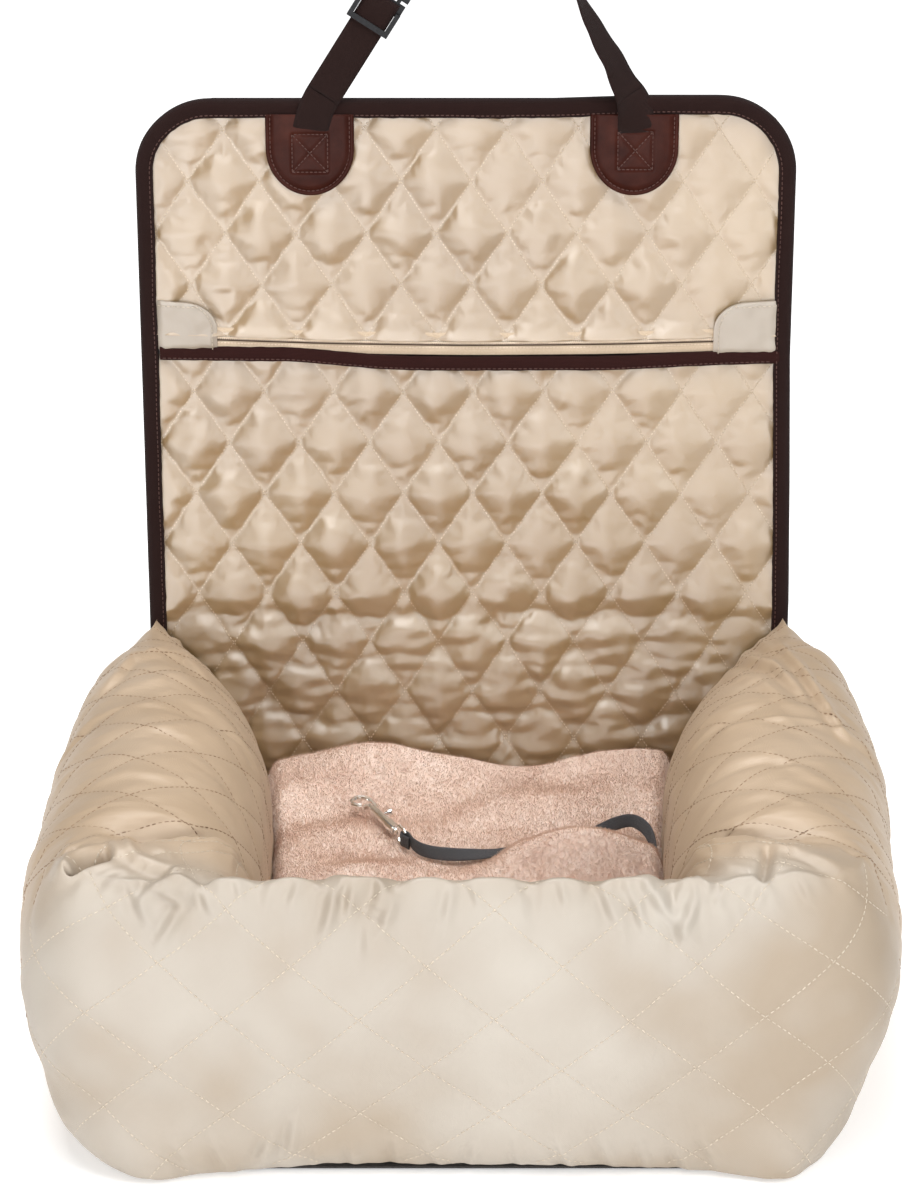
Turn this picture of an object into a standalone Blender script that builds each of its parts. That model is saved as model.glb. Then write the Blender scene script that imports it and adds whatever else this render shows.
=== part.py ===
"""Dog car seat: a quilted bolster bed whose tall back panel stands against a car seat and hangs from the headrest.

Metres, +Z up, -Y is the front. The origin is the middle of the underside.
Three stuffed bolsters stand round a padded floor with a plush mat. The back panel folds at the height of the bolsters.
It has a zipped pocket, leather patches and a headrest strap with a side-release buckle. A short tether ends in a bolt snap.
"""
import math

import bmesh
import bpy
from mathutils import Matrix, Vector

# ---------------------------------------------------------------- driving dimensions, millimetres
MM = 0.001
RECLINE = math.radians(5.0)
PANEL_Y0 = 242.05          # where the panel's middle plane meets the floor
PANEL_HW = 250.0           # half width of the back panel
PANEL_TOP = 602.0          # along the panel, from the floor
PANEL_R = 55.0             # top corner radius
BIND = 13.5                # binding width
WALL_TOP = 178.0           # top of the fixed back wall
FOLD_S = 190.0             # the fold line, along the panel
PANEL_BOT = 202.0          # bottom of the folding panel
N_FOLD = -5.0
QUILT = (-12.0, -5.4)      # layers, measured from the front (negative) to the rear
TAPE = (-5.1, -4.3)
POCKET = (-2.9, -2.3)
BOARD = (-2.0, 0.4)
LINING = (0.7, 2.0)
ZIP_S = 412.0
WEB_W, WEB_T = 27.0, 1.6
STRAP_N = -14.8
HINGE_S = 603.5
HL_X, HR_X = -111.0, 121.0
L_ANG, R_ANG = math.radians(32.5), math.radians(28.3)
FRONT_Y, FRONT_BACK_Y = -270.0, -140.5
BOLSTER_H = 214.0
MAT_TOP = 62.0
HOOK_Z = 75.5
HOOK_D = Vector((-0.463, 0.886, 0.0)).normalized()
HOOK_O = Vector((-56.0, 95.0, HOOK_Z))

for o in list(bpy.data.objects):
    bpy.data.objects.remove(o, do_unlink=True)

PARTS = bpy.data.collections.new("dog_car_seat")
CUTTERS = bpy.data.collections.new("cutters")
bpy.context.scene.collection.children.link(PARTS)
bpy.context.scene.collection.children.link(CUTTERS)
CUTTERS.hide_render = True


# ---------------------------------------------------------------- materials
def material(name, rgb, rough, metal=0.0):
    m = bpy.data.materials.new(name)
    m.use_nodes = True
    b = m.node_tree.nodes["Principled BSDF"]
    b.inputs["Base Color"].default_value = (*rgb, 1)
    b.inputs["Roughness"].default_value = rough
    b.inputs["Metallic"].default_value = metal
    return m


SATIN = material("satin_quilt", (0.66, 0.50, 0.33), 0.38)
LIGHT = material("satin_light", (0.74, 0.67, 0.56), 0.35)
BROWN = material("brown_binding", (0.035, 0.017, 0.014), 0.75)
LEATHER = material("brown_leather", (0.09, 0.028, 0.018), 0.42)
PLUSH = material("pink_plush", (0.72, 0.46, 0.36), 0.95)
DARK = material("nonslip_fabric", (0.030, 0.026, 0.024), 0.85)
LINER = material("rear_lining", (0.045, 0.030, 0.026), 0.85)
FOAM = material("foam", (0.80, 0.78, 0.70), 0.9)
FIBRE = material("fibre_filling", (0.90, 0.90, 0.88), 0.95)
BOARDM = material("stiffener_board", (0.70, 0.70, 0.68), 0.6)
ZIP = material("zip_beige", (0.66, 0.48, 0.33), 0.55)
PLASTIC = material("black_plastic", (0.02, 0.02, 0.022), 0.4)
GREY = material("grey_webbing", (0.09, 0.09, 0.095), 0.8)
STEEL = material("polished_steel", (0.78, 0.76, 0.73), 0.18, 1.0)


# ---------------------------------------------------------------- helpers
def put(obj, parent=None, matrix=None, helper=False):
    (CUTTERS if helper else PARTS).objects.link(obj)
    if helper:
        obj.hide_render = True
        obj.display_type = "WIRE"
    if parent is not None:
        obj.parent = parent
    if matrix is not None:
        obj.matrix_basis = matrix
    return obj


def empty(name, matrix, parent=None):
    e = bpy.data.objects.new(name, None)
    PARTS.objects.link(e)
    e.parent = parent
    e.matrix_basis = matrix
    return e


def axes(a, b, origin=(0, 0, 0)):
    """A matrix whose local x runs along a, local y along b; the origin is in millimetres."""
    a, b = Vector(a).normalized(), Vector(b).normalized()
    c = a.cross(b)
    m = Matrix((a, b, c)).transposed().to_4x4()
    m.translation = Vector(origin) * MM
    return m


def plate(name, outline, low, high, mat, parent=None, frame=None, helper=False, holes=()):
    """A flat outline in local x, y, extruded from low to high along local z."""
    cu = bpy.data.curves.new(name, "CURVE")
    cu.dimensions = "2D"
    cu.fill_mode = "BOTH"
    cu.extrude = (high - low) / 2 * MM
    for pts in (outline, *holes):
        sp = cu.splines.new("POLY")
        sp.points.add(len(pts) - 1)
        for p, (x, y) in zip(sp.points, pts):
            p.co = (x * MM, y * MM, 0, 1)
        sp.use_cyclic_u = True
    ob = bpy.data.objects.new(name, cu)
    cu.materials.append(mat)
    m = (frame or Matrix.Identity(4)) @ Matrix.Translation((0, 0, (low + high) / 2 * MM))
    return put(ob, parent, m, helper)


def tube(name, pts, radius, mat, parent=None, frame=None, res=2, cyclic=False, helper=False):
    cu = bpy.data.curves.new(name, "CURVE")
    cu.dimensions = "3D"
    cu.bevel_depth = radius * MM
    cu.bevel_resolution = res
    cu.use_fill_caps = not cyclic
    sp = cu.splines.new("POLY")
    sp.points.add(len(pts) - 1)
    for p, q in zip(sp.points, pts):
        p.co = (q[0] * MM, q[1] * MM, q[2] * MM, 1)
    sp.use_cyclic_u = cyclic
    ob = bpy.data.objects.new(name, cu)
    cu.materials.append(mat)
    return put(ob, parent, frame, helper)


def box(name, lo, hi, mat, parent=None, frame=None, helper=False):
    bm = bmesh.new()
    bmesh.ops.create_cube(bm, size=1.0)
    for v in bm.verts:
        v.co = Vector([(lo[i] if v.co[i] < 0 else hi[i]) * MM for i in range(3)])
    me = bpy.data.meshes.new(name)
    bm.to_mesh(me)
    bm.free()
    me.materials.append(mat)
    return put(bpy.data.objects.new(name, me), parent, frame, helper)


def cylinder(name, p, q, radius, mat, parent=None, seg=20, helper=False, r2=None, frame=None):
    p, q = Vector(p), Vector(q)
    bm = bmesh.new()
    bmesh.ops.create_cone(bm, cap_ends=True, segments=seg, radius1=radius * MM,
                          radius2=(radius if r2 is None else r2) * MM, depth=(q - p).length * MM)
    rot = (q - p).to_track_quat("Z", "Y").to_matrix().to_4x4()
    rot.translation = (p + q) / 2 * MM
    bmesh.ops.transform(bm, matrix=rot, verts=bm.verts)
    me = bpy.data.meshes.new(name)
    bm.to_mesh(me)
    bm.free()
    me.materials.append(mat)
    ob = put(bpy.data.objects.new(name, me), parent, frame, helper)
    me.shade_smooth()
    return ob


def as_mesh(ob):
    """The evaluated object as a mesh object of the same name, with its caps welded."""
    bpy.context.view_layer.update()
    me = bpy.data.meshes.new_from_object(ob.evaluated_get(bpy.context.evaluated_depsgraph_get()))
    bm = bmesh.new()
    bm.from_mesh(me)
    bmesh.ops.remove_doubles(bm, verts=bm.verts, dist=1e-6)
    bmesh.ops.recalc_face_normals(bm, faces=bm.faces)
    bm.to_mesh(me)
    bm.free()
    name, world, col = ob.name, ob.matrix_world.copy(), ob.users_collection[0]
    parent, basis, hidden = ob.parent, ob.matrix_basis.copy(), ob.hide_render
    bpy.data.objects.remove(ob, do_unlink=True)
    me.name = name
    new = bpy.data.objects.new(name, me)
    col.objects.link(new)
    new.parent = parent
    new.matrix_basis = basis
    new.hide_render = hidden
    if hidden:
        new.display_type = "WIRE"
    return new


def boolean(target, cutter, op="DIFFERENCE"):
    if cutter.type != "MESH":
        cutter = as_mesh(cutter)
    md = target.modifiers.new(op.lower(), "BOOLEAN")
    md.operation = op
    md.object = cutter
    md.solver = "EXACT"
    return target


def mesh_object(name, verts, faces, mat, parent=None, frame=None, helper=False):
    me = bpy.data.meshes.new(name)
    me.from_pydata([Vector(v) * MM for v in verts], [], faces)
    bm = bmesh.new()
    bm.from_mesh(me)
    bmesh.ops.recalc_face_normals(bm, faces=bm.faces)
    bm.to_mesh(me)
    bm.free()
    me.materials.append(mat)
    return put(bpy.data.objects.new(name, me), parent, frame, helper)


def loft(name, rings, mat, parent=None, frame=None, skip=None, subsurf=0):
    """A closed loft through rings of equal length, with end caps. skip(i, j) leaves a face out."""
    n = len(rings[0])
    verts = [p for r in rings for p in r]
    faces = [
        (i * n + j, i * n + (j + 1) % n, (i + 1) * n + (j + 1) % n, (i + 1) * n + j)
        for i in range(len(rings) - 1)
        for j in range(n)
        if not (skip and skip(i, j))
    ]
    faces += [tuple(range(n))[::-1], tuple((len(rings) - 1) * n + j for j in range(n))]
    ob = mesh_object(name, verts, faces, mat, parent, frame)
    if subsurf:
        md = ob.modifiers.new("round", "SUBSURF")
        md.levels = md.render_levels = subsurf
        ob.data.shade_smooth()
    return ob


def ribbon(name, path, widths, thick, mat, parent=None, frame=None, width=WEB_W, first=None):
    """Flat webbing along a path: widths are the directions across it at each point."""
    rings = []
    for i, (p, w) in enumerate(zip(path, widths)):
        p, w = Vector(p), Vector(w).normalized()
        t = Vector(path[min(i + 1, len(path) - 1)]) - Vector(path[max(i - 1, 0)])
        t.normalize()
        n = w.cross(t).normalized()
        hw = width / 2
        if i == 0 and first is not None:
            w, hw = Vector(first[0]).normalized(), first[1]
        else:
            w = (w - t * w.dot(t)).normalized()
        rings.append([p + w * hw + n * thick / 2, p - w * hw + n * thick / 2,
                      p - w * hw - n * thick / 2, p + w * hw - n * thick / 2])
    return loft(name, rings, mat, parent, frame)


def smooth_path(points, step):
    """Points about step apart on a Catmull-Rom curve through the given points."""
    pts = [Vector(p) for p in points]
    pts = [pts[0] * 2 - pts[1]] + pts + [pts[-1] * 2 - pts[-2]]
    fine = []
    for i in range(1, len(pts) - 2):
        p0, p1, p2, p3 = pts[i - 1:i + 3]
        for k in range(24):
            t = k / 24
            fine.append(0.5 * ((2 * p1) + (p2 - p0) * t + (2 * p0 - 5 * p1 + 4 * p2 - p3) * t * t
                               + (3 * p1 - p0 - 3 * p2 + p3) * t ** 3))
    fine.append(pts[-2])
    length = [0.0]
    for a, b in zip(fine, fine[1:]):
        length.append(length[-1] + (b - a).length)
    count = max(2, round(length[-1] / step))
    out, j = [], 0
    for k in range(count + 1):
        want = length[-1] * k / count
        while j < len(fine) - 2 and length[j + 1] < want:
            j += 1
        span = length[j + 1] - length[j]
        out.append(fine[j].lerp(fine[j + 1], (want - length[j]) / span if span else 0))
    return out


def arc(cx, cy, r, a0, a1, n, ry=None):
    ry = r if ry is None else ry
    return [(cx + r * math.cos(math.radians(a0 + (a1 - a0) * k / n)),
             cy + ry * math.sin(math.radians(a0 + (a1 - a0) * k / n))) for k in range(n + 1)]


def rounded(x0, x1, y0, y1, r, n=6):
    return (arc(x1 - r, y1 - r, r, 0, 90, n) + arc(x0 + r, y1 - r, r, 90, 180, n)
            + arc(x0 + r, y0 + r, r, 180, 270, n) + arc(x1 - r, y0 + r, r, 270, 360, n))


# ---------------------------------------------------------------- bolsters
def superellipse(cx, hw, z0, z1, e_top, e_low, shift, count, inset):
    """A cushion's cross-section, count points round, taken in by inset on every side."""
    zc, hz = (z0 + z1) / 2, (z1 - z0) / 2
    pts = []
    for k in range(count):
        a = 2 * math.pi * (k + 0.5) / count
        c, s = math.cos(a), math.sin(a)
        e = e_top if s > 0 else e_low
        x = cx + (hw - inset) * math.copysign(abs(c) ** (2 / e), c) + shift * max(0.0, s) ** 1.5
        z = zc + (hz - inset) * math.copysign(abs(s) ** (2 / e), s)
        pts.append((x, z))
    return pts


def side_rings(side, inset):
    """Rings of a side bolster from its front end to where it is sewn to the panel."""
    stations = [  # y, middle x, half width, top, top exponent, bottom exponent, shift of the top
        (-139.3, 217.0, 65.0, 190.0, 2.6, 3.0, 0.0),
        (-132.0, 219.5, 80.5, 214.0, 2.9, 3.6, 0.0),
        (-70.0, 223.0, 83.0, 217.0, 2.8, 3.6, 0.0),
        (0.0, 224.5, 81.5, 217.0, 2.6, 3.6, 0.0),
        (80.0, 226.0, 78.0, 213.0, 2.4, 3.4, 2.0),
        (150.0, 228.5, 73.5, 203.0, 2.1, 3.2, 6.0),
        (200.0, 230.5, 67.5, 190.0, 1.75, 3.0, 12.0),
        (221.0, 232.0, 62.0, 184.0, 1.5, 2.8, 15.0),
        (228.5, 233.0, 53.0, 176.0, 1.4, 2.6, 14.0),
    ]
    rings = []
    for i, (y, cx, hw, top, et, el, sh) in enumerate(stations):
        lean = math.tan(RECLINE) * (y + 140) / 370
        if i == 0:
            y += inset
        if i == len(stations) - 1:
            y -= inset
        ring = superellipse(cx, hw, 2.0, top, et, el, sh, 12, inset)
        rings.append([(side * x, y + z * lean, z) for x, z in ring])
    return rings


def front_rings(inset):
    yc = (FRONT_Y + FRONT_BACK_Y) / 2
    stations = [  # x, half depth, bottom, top
        (-296.0, 44.0, 22.0, 186.0), (-286.0, 60.0, 5.0, 206.0), (-200.0, 66.5, 2.0, 215.0), (-70.0, 67.5, 2.0, 218.0),
        (70.0, 67.5, 2.0, 218.0), (200.0, 66.5, 2.0, 215.0), (286.0, 60.0, 5.0, 206.0), (296.0, 44.0, 22.0, 186.0),
    ]
    rings = []
    for i, (x, hd, z0, z1) in enumerate(stations):
        if i in (0, len(stations) - 1):
            x -= math.copysign(inset, x)
        ring = superellipse(yc, hd, z0, z1, 2.7, 3.4, 0.0, 12, inset)
        rings.append([(x, y, z) for y, z in ring])
    return rings


def bolster(name, rings_of, cover_mat):
    """A quilted cover, open underneath where its filling goes in, and the fibre filling that it holds."""
    mid = len(rings_of(0)) // 2
    cover = loft(name + "_cover", rings_of(0), cover_mat, skip=lambda i, j: j == 8 and i in (mid - 1, mid), subsurf=1)
    md = cover.modifiers.new("cloth", "SOLIDIFY")
    md.thickness = 1.5 * MM
    md.offset = -1
    loft(name + "_filling", rings_of(4.0), FIBRE, subsurf=1)


bolster("front_bolster", front_rings, SATIN)
bolster("left_bolster", lambda i: side_rings(-1, i), SATIN)
bolster("right_bolster", lambda i: side_rings(1, i), SATIN)


# ---------------------------------------------------------------- floor, mat and base sheet
def seat_outline(gap):
    """The bed's floor between the bolsters, wider towards the rear."""
    edge = [(-70, 138.0), (0, 139.0), (80, 145.0), (150, 153.0), (200, 162.0)]
    front, back, r = 137.0 - gap, 166.0 - gap, 14.0
    y0, y1 = FRONT_BACK_Y + 5.0, 226.0
    pts = arc(front - r, y0 + r, r, 270, 360, 5) + [(x - gap, y) for y, x in edge] + arc(back - r, y1 - r, r, 0, 90, 5)
    return pts + [(-x, y) for x, y in reversed(pts)]


plate("nonslip_base_sheet", rounded(-262, 262, -252, 236, 48), 0.0, 1.6, DARK)
plate("floor_foam_pad", seat_outline(4.5), 2.2, 36.0, FOAM)
plate("plush_mat", seat_outline(5.5), 36.4, MAT_TOP, PLUSH)

# ---------------------------------------------------------------- back panel
# The panel frame: x across, y towards the rear, z up along the reclined panel.
PANEL = empty("panel_frame", Matrix.Translation((0, PANEL_Y0 * MM, 0)) @ Matrix.Rotation(-RECLINE, 4, "X"))
FACE = axes((1, 0, 0), (0, 0, 1))        # outlines seen from the front; local z points to the front
SIDE = axes((0, 1, 0), (0, 0, 1))        # sections seen from the side; local z runs along x


def sheet(name, outline, layer, mat, holes=()):
    """A layer of the panel, from layer[0] at the front to layer[1] at the rear."""
    return plate(name, outline, -layer[1], -layer[0], mat, PANEL, FACE, holes=holes)


def panel_outline(inset, bottom, top=None):
    hw, r = PANEL_HW - inset, PANEL_R - inset
    if top is not None:
        return [(-hw, bottom), (hw, bottom), (hw, top), (-hw, top)]
    t = PANEL_TOP - inset
    return [(-hw, bottom), (hw, bottom)] + arc(hw - r, t - r, r, 0, 90, 8) + arc(-hw + r, t - r, r, 90, 180, 8)


# fixed back wall, between the bolsters' rear ends
WALL = [(-236, 3.0), (236, 3.0), (246, WALL_TOP), (-246, WALL_TOP)]
sheet("back_wall_quilt", WALL, QUILT, SATIN)
sheet("back_wall_board", [(-228, 6), (228, 6), (236, WALL_TOP - 4), (-236, WALL_TOP - 4)], BOARD, BOARDM)
sheet("back_wall_lining", WALL, LINING, LINER)
# the quilt runs on through the fold with no board in it
sheet("fold_strip", [(-246, WALL_TOP + 0.4), (246, WALL_TOP + 0.4), (246, PANEL_BOT - 2.8), (-246, PANEL_BOT - 2.8)],
      (-9.5, -4.5), SATIN)

sheet("panel_quilt_lower", panel_outline(2.0, PANEL_BOT, 402.7), QUILT, SATIN)
sheet("panel_quilt_upper", panel_outline(2.0, 418.0), QUILT, SATIN)
sheet("panel_board", panel_outline(8.0, PANEL_BOT + 4), BOARD, BOARDM)
sheet("panel_lining", panel_outline(2.0, PANEL_BOT), LINING, LINER)
sheet("pocket_lining", [(-226, 240), (226, 240), (226, 432), (-226, 432)], POCKET, LINER)

# the binding is a channel folded over the edge
binding = plate("edge_binding", panel_outline(0, PANEL_BOT) , 0, 17.0, BROWN, PANEL,
                FACE @ Matrix.Translation((0, 0, -3.5 * MM)))
binding = as_mesh(binding)
window = plate("binding_window", [(x, s - (60 if s < PANEL_BOT + 1 else 0)) for x, s in panel_outline(BIND, PANEL_BOT)],
               -30, 30, BROWN, PANEL, FACE, helper=True)
slot = plate("binding_slot", [(x, s - (60 if s < PANEL_BOT + 1 else 0)) for x, s in panel_outline(1.6, PANEL_BOT)],
             -2.3, 12.3, BROWN, PANEL, FACE, helper=True)
boolean(binding, window)
boolean(binding, slot)

# pocket edge: the band is folded over the top of the lower quilt
band = [(-13.3, 393.5), (-12.3, 393.5), (-12.3, 403.0), (-5.5, 403.0), (-5.5, 404.2), (-13.3, 404.2)]
plate("pocket_band", band, -235.9, 235.9, BROWN, PANEL, SIDE)

# zip
plate("zip_tape_upper", [(TAPE[0], ZIP_S + 0.6), (TAPE[1], ZIP_S + 0.6), (TAPE[1], 428), (TAPE[0], 428)], -230, 230,
      ZIP, PANEL, SIDE)
plate("zip_tape_lower", [(TAPE[0], 396), (TAPE[1], 396), (TAPE[1], ZIP_S - 0.6), (TAPE[0], ZIP_S - 0.6)], -230, 230,
      ZIP, PANEL, SIDE)
for tag, side in (("upper", 1), ("lower", -1)):
    a, b = sorted((ZIP_S + side * 0.6, ZIP_S + side * 3.4))
    plate("zip_coil_" + tag, [(-7.9, a + 0.5), (-7.4, a), (-5.4, a), (-5.4, b), (-7.4, b), (-7.9, b - 0.5)], -222, 226,
          ZIP, PANEL, SIDE)
for tag, x0 in (("left", -224.6), ("right", 226.5)):
    box("zip_stop_" + tag, (x0, -8.6, ZIP_S - 3.6), (x0 + 2.2, -5.4, ZIP_S + 3.6), STEEL, PANEL)

# slider: front and rear plates, side flanges and the neck between the two rows of teeth
SL_X = 214.0
sec = [(-9.4, 407.6), (-5.5, 407.6), (-5.5, 408.2), (-8.2, 408.2), (-8.2, 411.7), (-4.0, 411.7), (-4.0, 408.2),
       (-3.2, 408.2), (-3.2, 415.8), (-4.0, 415.8), (-4.0, 412.3), (-8.2, 412.3), (-8.2, 415.8), (-5.5, 415.8),
       (-5.5, 416.4), (-9.4, 416.4)]
slider = as_mesh(plate("zip_slider", sec, SL_X - 5.5, SL_X + 5.5, STEEL, PANEL, SIDE))
bail = tube("slider_bail", [(SL_X - 3.4, -9.0, ZIP_S), (SL_X - 3.4, -11.6, ZIP_S), (SL_X - 2.6, -12.5, ZIP_S),
                            (SL_X + 2.6, -12.5, ZIP_S), (SL_X + 3.4, -11.6, ZIP_S), (SL_X + 3.4, -9.0, ZIP_S)],
            0.6, STEEL, PANEL, res=1, helper=True)
boolean(slider, bail, "UNION")
pull = plate("zip_pull", rounded(SL_X - 24, SL_X - 0.8, ZIP_S - 3.0, ZIP_S + 3.0, 1.4, 3), 10.4, 11.3, STEEL, PANEL, FACE,
             holes=[rounded(SL_X - 5.4, SL_X - 2.4, ZIP_S - 1.8, ZIP_S + 1.8, 0.5, 2)])

# light tabs over the zip's ends, each with a channel for the slider
for tag, side in (("left", -1), ("right", 1)):
    out = [(235.6, 405.2), (235.6, 446.5), (214.0, 445.0)] + arc(214.0, 420.0, 26.0, 100, 175, 5, 25.0) + [(187.6, 405.2)]
    tab = as_mesh(plate("zip_tab_" + tag, [(side * x, s) for x, s in out][::side], 12.3, 15.2, LIGHT, PANEL, FACE))
    cut = box("tab_channel_" + tag, (min(side * 150, side * 233), -13.9, 400.0), (max(side * 150, side * 233), -11.0, 420.0), LIGHT,
              PANEL, helper=True)
    boolean(tab, cut)

# leather patches with a slit for the strap
for tag, cx in (("left", -121.5), ("right", 124.5)):
    out = [(cx + 33.6, 588.0), (cx + 33.6, 564.0)] + arc(cx, 564.0, 33.6, 0, -180, 16, 36.5)[1:] + [(cx - 33.6, 588.0)]
    plate("leather_patch_" + tag, out[::-1], 12.3, 13.9, LEATHER, PANEL, FACE,
          holes=[[(cx - 13.9, 575.2), (cx + 13.9, 575.2), (cx + 13.9, 577.4), (cx - 13.9, 577.4)]])
    web = [(-12.3, 575.5), (-12.3, 577.1), (-14.0, 577.1), (-14.0, 602.2), (-15.6, 602.2), (-15.6, 575.5)]
    plate("strap_base_" + tag, web, cx - 13.5, cx + 13.5, BROWN, PANEL, SIDE)

# ---------------------------------------------------------------- headrest strap and buckle
UP_L = Vector((math.sin(L_ANG), 0, math.cos(L_ANG)))
ACROSS_L = Vector((math.cos(L_ANG), 0, -math.sin(L_ANG)))
HL = Vector((HL_X, STRAP_N, HINGE_S + 0.9))
CLIP_A = 62.0     # from the hinge line to the clip's lower bar, along the webbing
run = [HL, HL + UP_L * 12, HL + UP_L * 40, HL + UP_L * (CLIP_A + 26)]
ribbon("strap_left_web", run, [ACROSS_L] * 4, WEB_T, BROWN, PANEL, first=((1, 0, 0), WEB_W / 2 / math.cos(L_ANG)))

# clip frame: a runs along the strap, b across it, local z points to the rear
CLIP = empty("clip_frame", axes(UP_L, ACROSS_L, HL + UP_L * CLIP_A), PANEL)
REAR = CLIP.matrix_basis.to_3x3().col[2].dot(Vector((0, 1, 0)))  # +1 if local z points to the rear


def clip_box(name, a0, a1, b0, b1, n0, n1, mat=PLASTIC, helper=True):
    """n is measured from the webbing's middle plane, positive to the rear."""
    z = sorted((n0 * REAR, n1 * REAR))
    return box(name, (a0, b0, z[0]), (a1, b1, z[1]), mat, CLIP, helper=helper)


clip = clip_box("buckle_clip", 17.0, 27.0, -17.4, 17.4, 1.1, 5.1, helper=False)
for nm, a in (("rail_l", (0, 20, -17.4, -14.0, -3.2, 3.4)), ("rail_r", (0, 20, 14.0, 17.4, -3.2, 3.4)),
              ("bar", (0, 4.2, -16.5, 16.5, -3.2, -1.1)), ("tongue", (26, 50, -4.0, 4.0, 1.5, 4.7))):
    boolean(clip, clip_box("clip_" + nm, *a), "UNION")
for tag, s in (("left", -1), ("right", 1)):
    prong = [(27.4, 9.4), (44.0, 9.4), (51.0, 8.4), (54.0, 9.6), (54.0, 11.6), (50.0, 14.6), (42.0, 14.9), (40.6, 12.4), (27.4, 12.4)]
    plate("clip_prong_" + tag, [(a, s * b) for a, b in prong][::s], *sorted((1.4 * REAR, 4.8 * REAR)), PLASTIC, CLIP)
socket = clip_box("buckle_socket", 30.0, 61.0, -17.6, 17.6, -0.6, 6.9, helper=False)
boolean(socket, clip_box("socket_cavity", 25.0, 58.5, -15.4, 15.4, 0.9, 5.4))
boolean(socket, clip_box("socket_windows", 38.5, 53.5, -25, 25, 0.9, 5.4))
boolean(socket, clip_box("socket_eye", 60.0, 74.0, -17.0, 17.0, 1.1, 4.4), "UNION")
boolean(socket, clip_box("socket_slot", 62.0, 70.0, -14.2, 14.2, -5, 9))

# the long side of the strap: it leaves the socket, turns on edge, goes over the headrest post and comes down to the right patch
UP_R = Vector((-math.sin(R_ANG), 0, math.cos(R_ANG)))
ACROSS_R = Vector((math.cos(R_ANG), 0, math.sin(R_ANG)))
HR = Vector((HR_X, STRAP_N, HINGE_S + 0.9))
t_l = ((HR.x - HL.x) * UP_R.z - (HR.z - HL.z) * UP_R.x) / (UP_L.x * UP_R.z - UP_L.z * UP_R.x)
APEX = HL + UP_L * t_l
ROUND = 24.0
half = (L_ANG + R_ANG) / 2
back_off = ROUND / math.tan(half)
pa, pb = APEX - UP_L * back_off, APEX - UP_R * back_off
inward = (Vector((0, 0, -1)).lerp(Vector((0, 0, -1)), 1)).normalized()
centre = pa + Vector((UP_L.z, 0, -UP_L.x)) * ROUND
start_a = CLIP_A + 64.5
path, across, REARV = [], [], Vector((0, 1, 0))


def turned(u, v, t):
    """Between two directions across the webbing, t from 0 to 1."""
    t = t * t * (3 - 2 * t)
    return (u * math.cos(t * math.pi / 2) + v * math.sin(t * math.pi / 2)).normalized()


leg = t_l - back_off
for k in range(9):
    d = start_a + (leg - start_a) * k / 8
    path.append(HL + UP_L * d)
    across.append(turned(ACROSS_L, REARV, max(0.0, min(1.0, (d - start_a - 12) / (leg - start_a - 16)))))
a0 = math.atan2(pa.z - centre.z, pa.x - centre.x)
a1 = math.atan2(pb.z - centre.z, pb.x - centre.x)
for k in range(1, 10):
    a = a0 + (a1 - a0) * k / 10
    path.append(centre + Vector((math.cos(a), 0, math.sin(a))) * ROUND)
    across.append(REARV)
right_leg = (pb - HR).length
for k in range(13):
    d = right_leg * (1 - k / 12)
    path.append(HR + UP_R * d)
    across.append(turned(ACROSS_R, REARV, max(0.0, min(1.0, (d - 4) / 84))))
path, across = path[::-1], across[::-1]
ribbon("strap_right_web", path, across, WEB_T, BROWN, PANEL, first=((1, 0, 0), WEB_W / 2 / math.cos(R_ANG)))

# ---------------------------------------------------------------- tether
TETHER = [(140.3, 30, 44), (140.4, 31, 58), (140.4, 35, 69), (140.2, 45, 76), (139.5, 66, 79), (135, 90, 80), (125, 104, 80),
          (112, 101, 79), (98, 90, 78), (84, 82.2, 77), (70, 77.4, 76.5), (25, 62, 76), (8, 57.6, 76), (-12, 57.0, 76),
          (-28, 60.5, 75.8), (-38.0, 67.0, 75.6), (-43.2, 74.6, 75.5)]
TILT = [(0, 90), (0.14, 90), (0.24, 70), (0.38, 60), (0.50, 20), (0.56, 0), (0.75, 0), (0.90, 60), (1.0, 90)]
tpath = smooth_path(TETHER, 8.0)
tw = []
for i, p in enumerate(tpath):
    t = i / (len(tpath) - 1)
    for (t0, v0), (t1, v1) in zip(TILT, TILT[1:]):
        if t0 <= t <= t1:
            tilt = math.radians(v0 + (v1 - v0) * (t - t0) / (t1 - t0))
            break
    tan = (tpath[min(i + 1, len(tpath) - 1)] - tpath[max(i - 1, 0)]).normalized()
    if t < 0.13:       # the rising stretch lies flat against the bolster
        w = Vector((0, 1, 0))
    else:
        flat = tan.cross(Vector((0, 0, 1))).normalized()
        w = flat * math.cos(tilt) + Vector((0, 0, 1)) * math.sin(tilt)
    tw.append(w)
HOOK_B = HOOK_D.cross(Vector((0, 0, 1)))
for a, b in ((-19, 2.5), (-16, 2.9), (-13.4, 2.9), (-11.2, 2.3), (-10.0, 0.9), (-10.0, -0.9), (-11.2, -2.3), (-13.4, -2.9),
             (-16, -2.7), (-19, -1.6), (-22.5, -0.8)):      # round the eye's bar and back on itself
    tpath.append(HOOK_O + HOOK_D * a + HOOK_B * b)
    tw.append(Vector((0, 0, 1)))
for i in range(1, len(tw)):          # keep the same edge up all along
    if tw[i].dot(tw[i - 1]) < 0:
        tw[i] = -tw[i]
ribbon("tether_webbing", tpath, tw, 1.6, GREY, width=10.0)
box("tether_anchor_tab", (137.2, 23.0, 36.6), (143.2, 37.4, 43.4), GREY)

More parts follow.
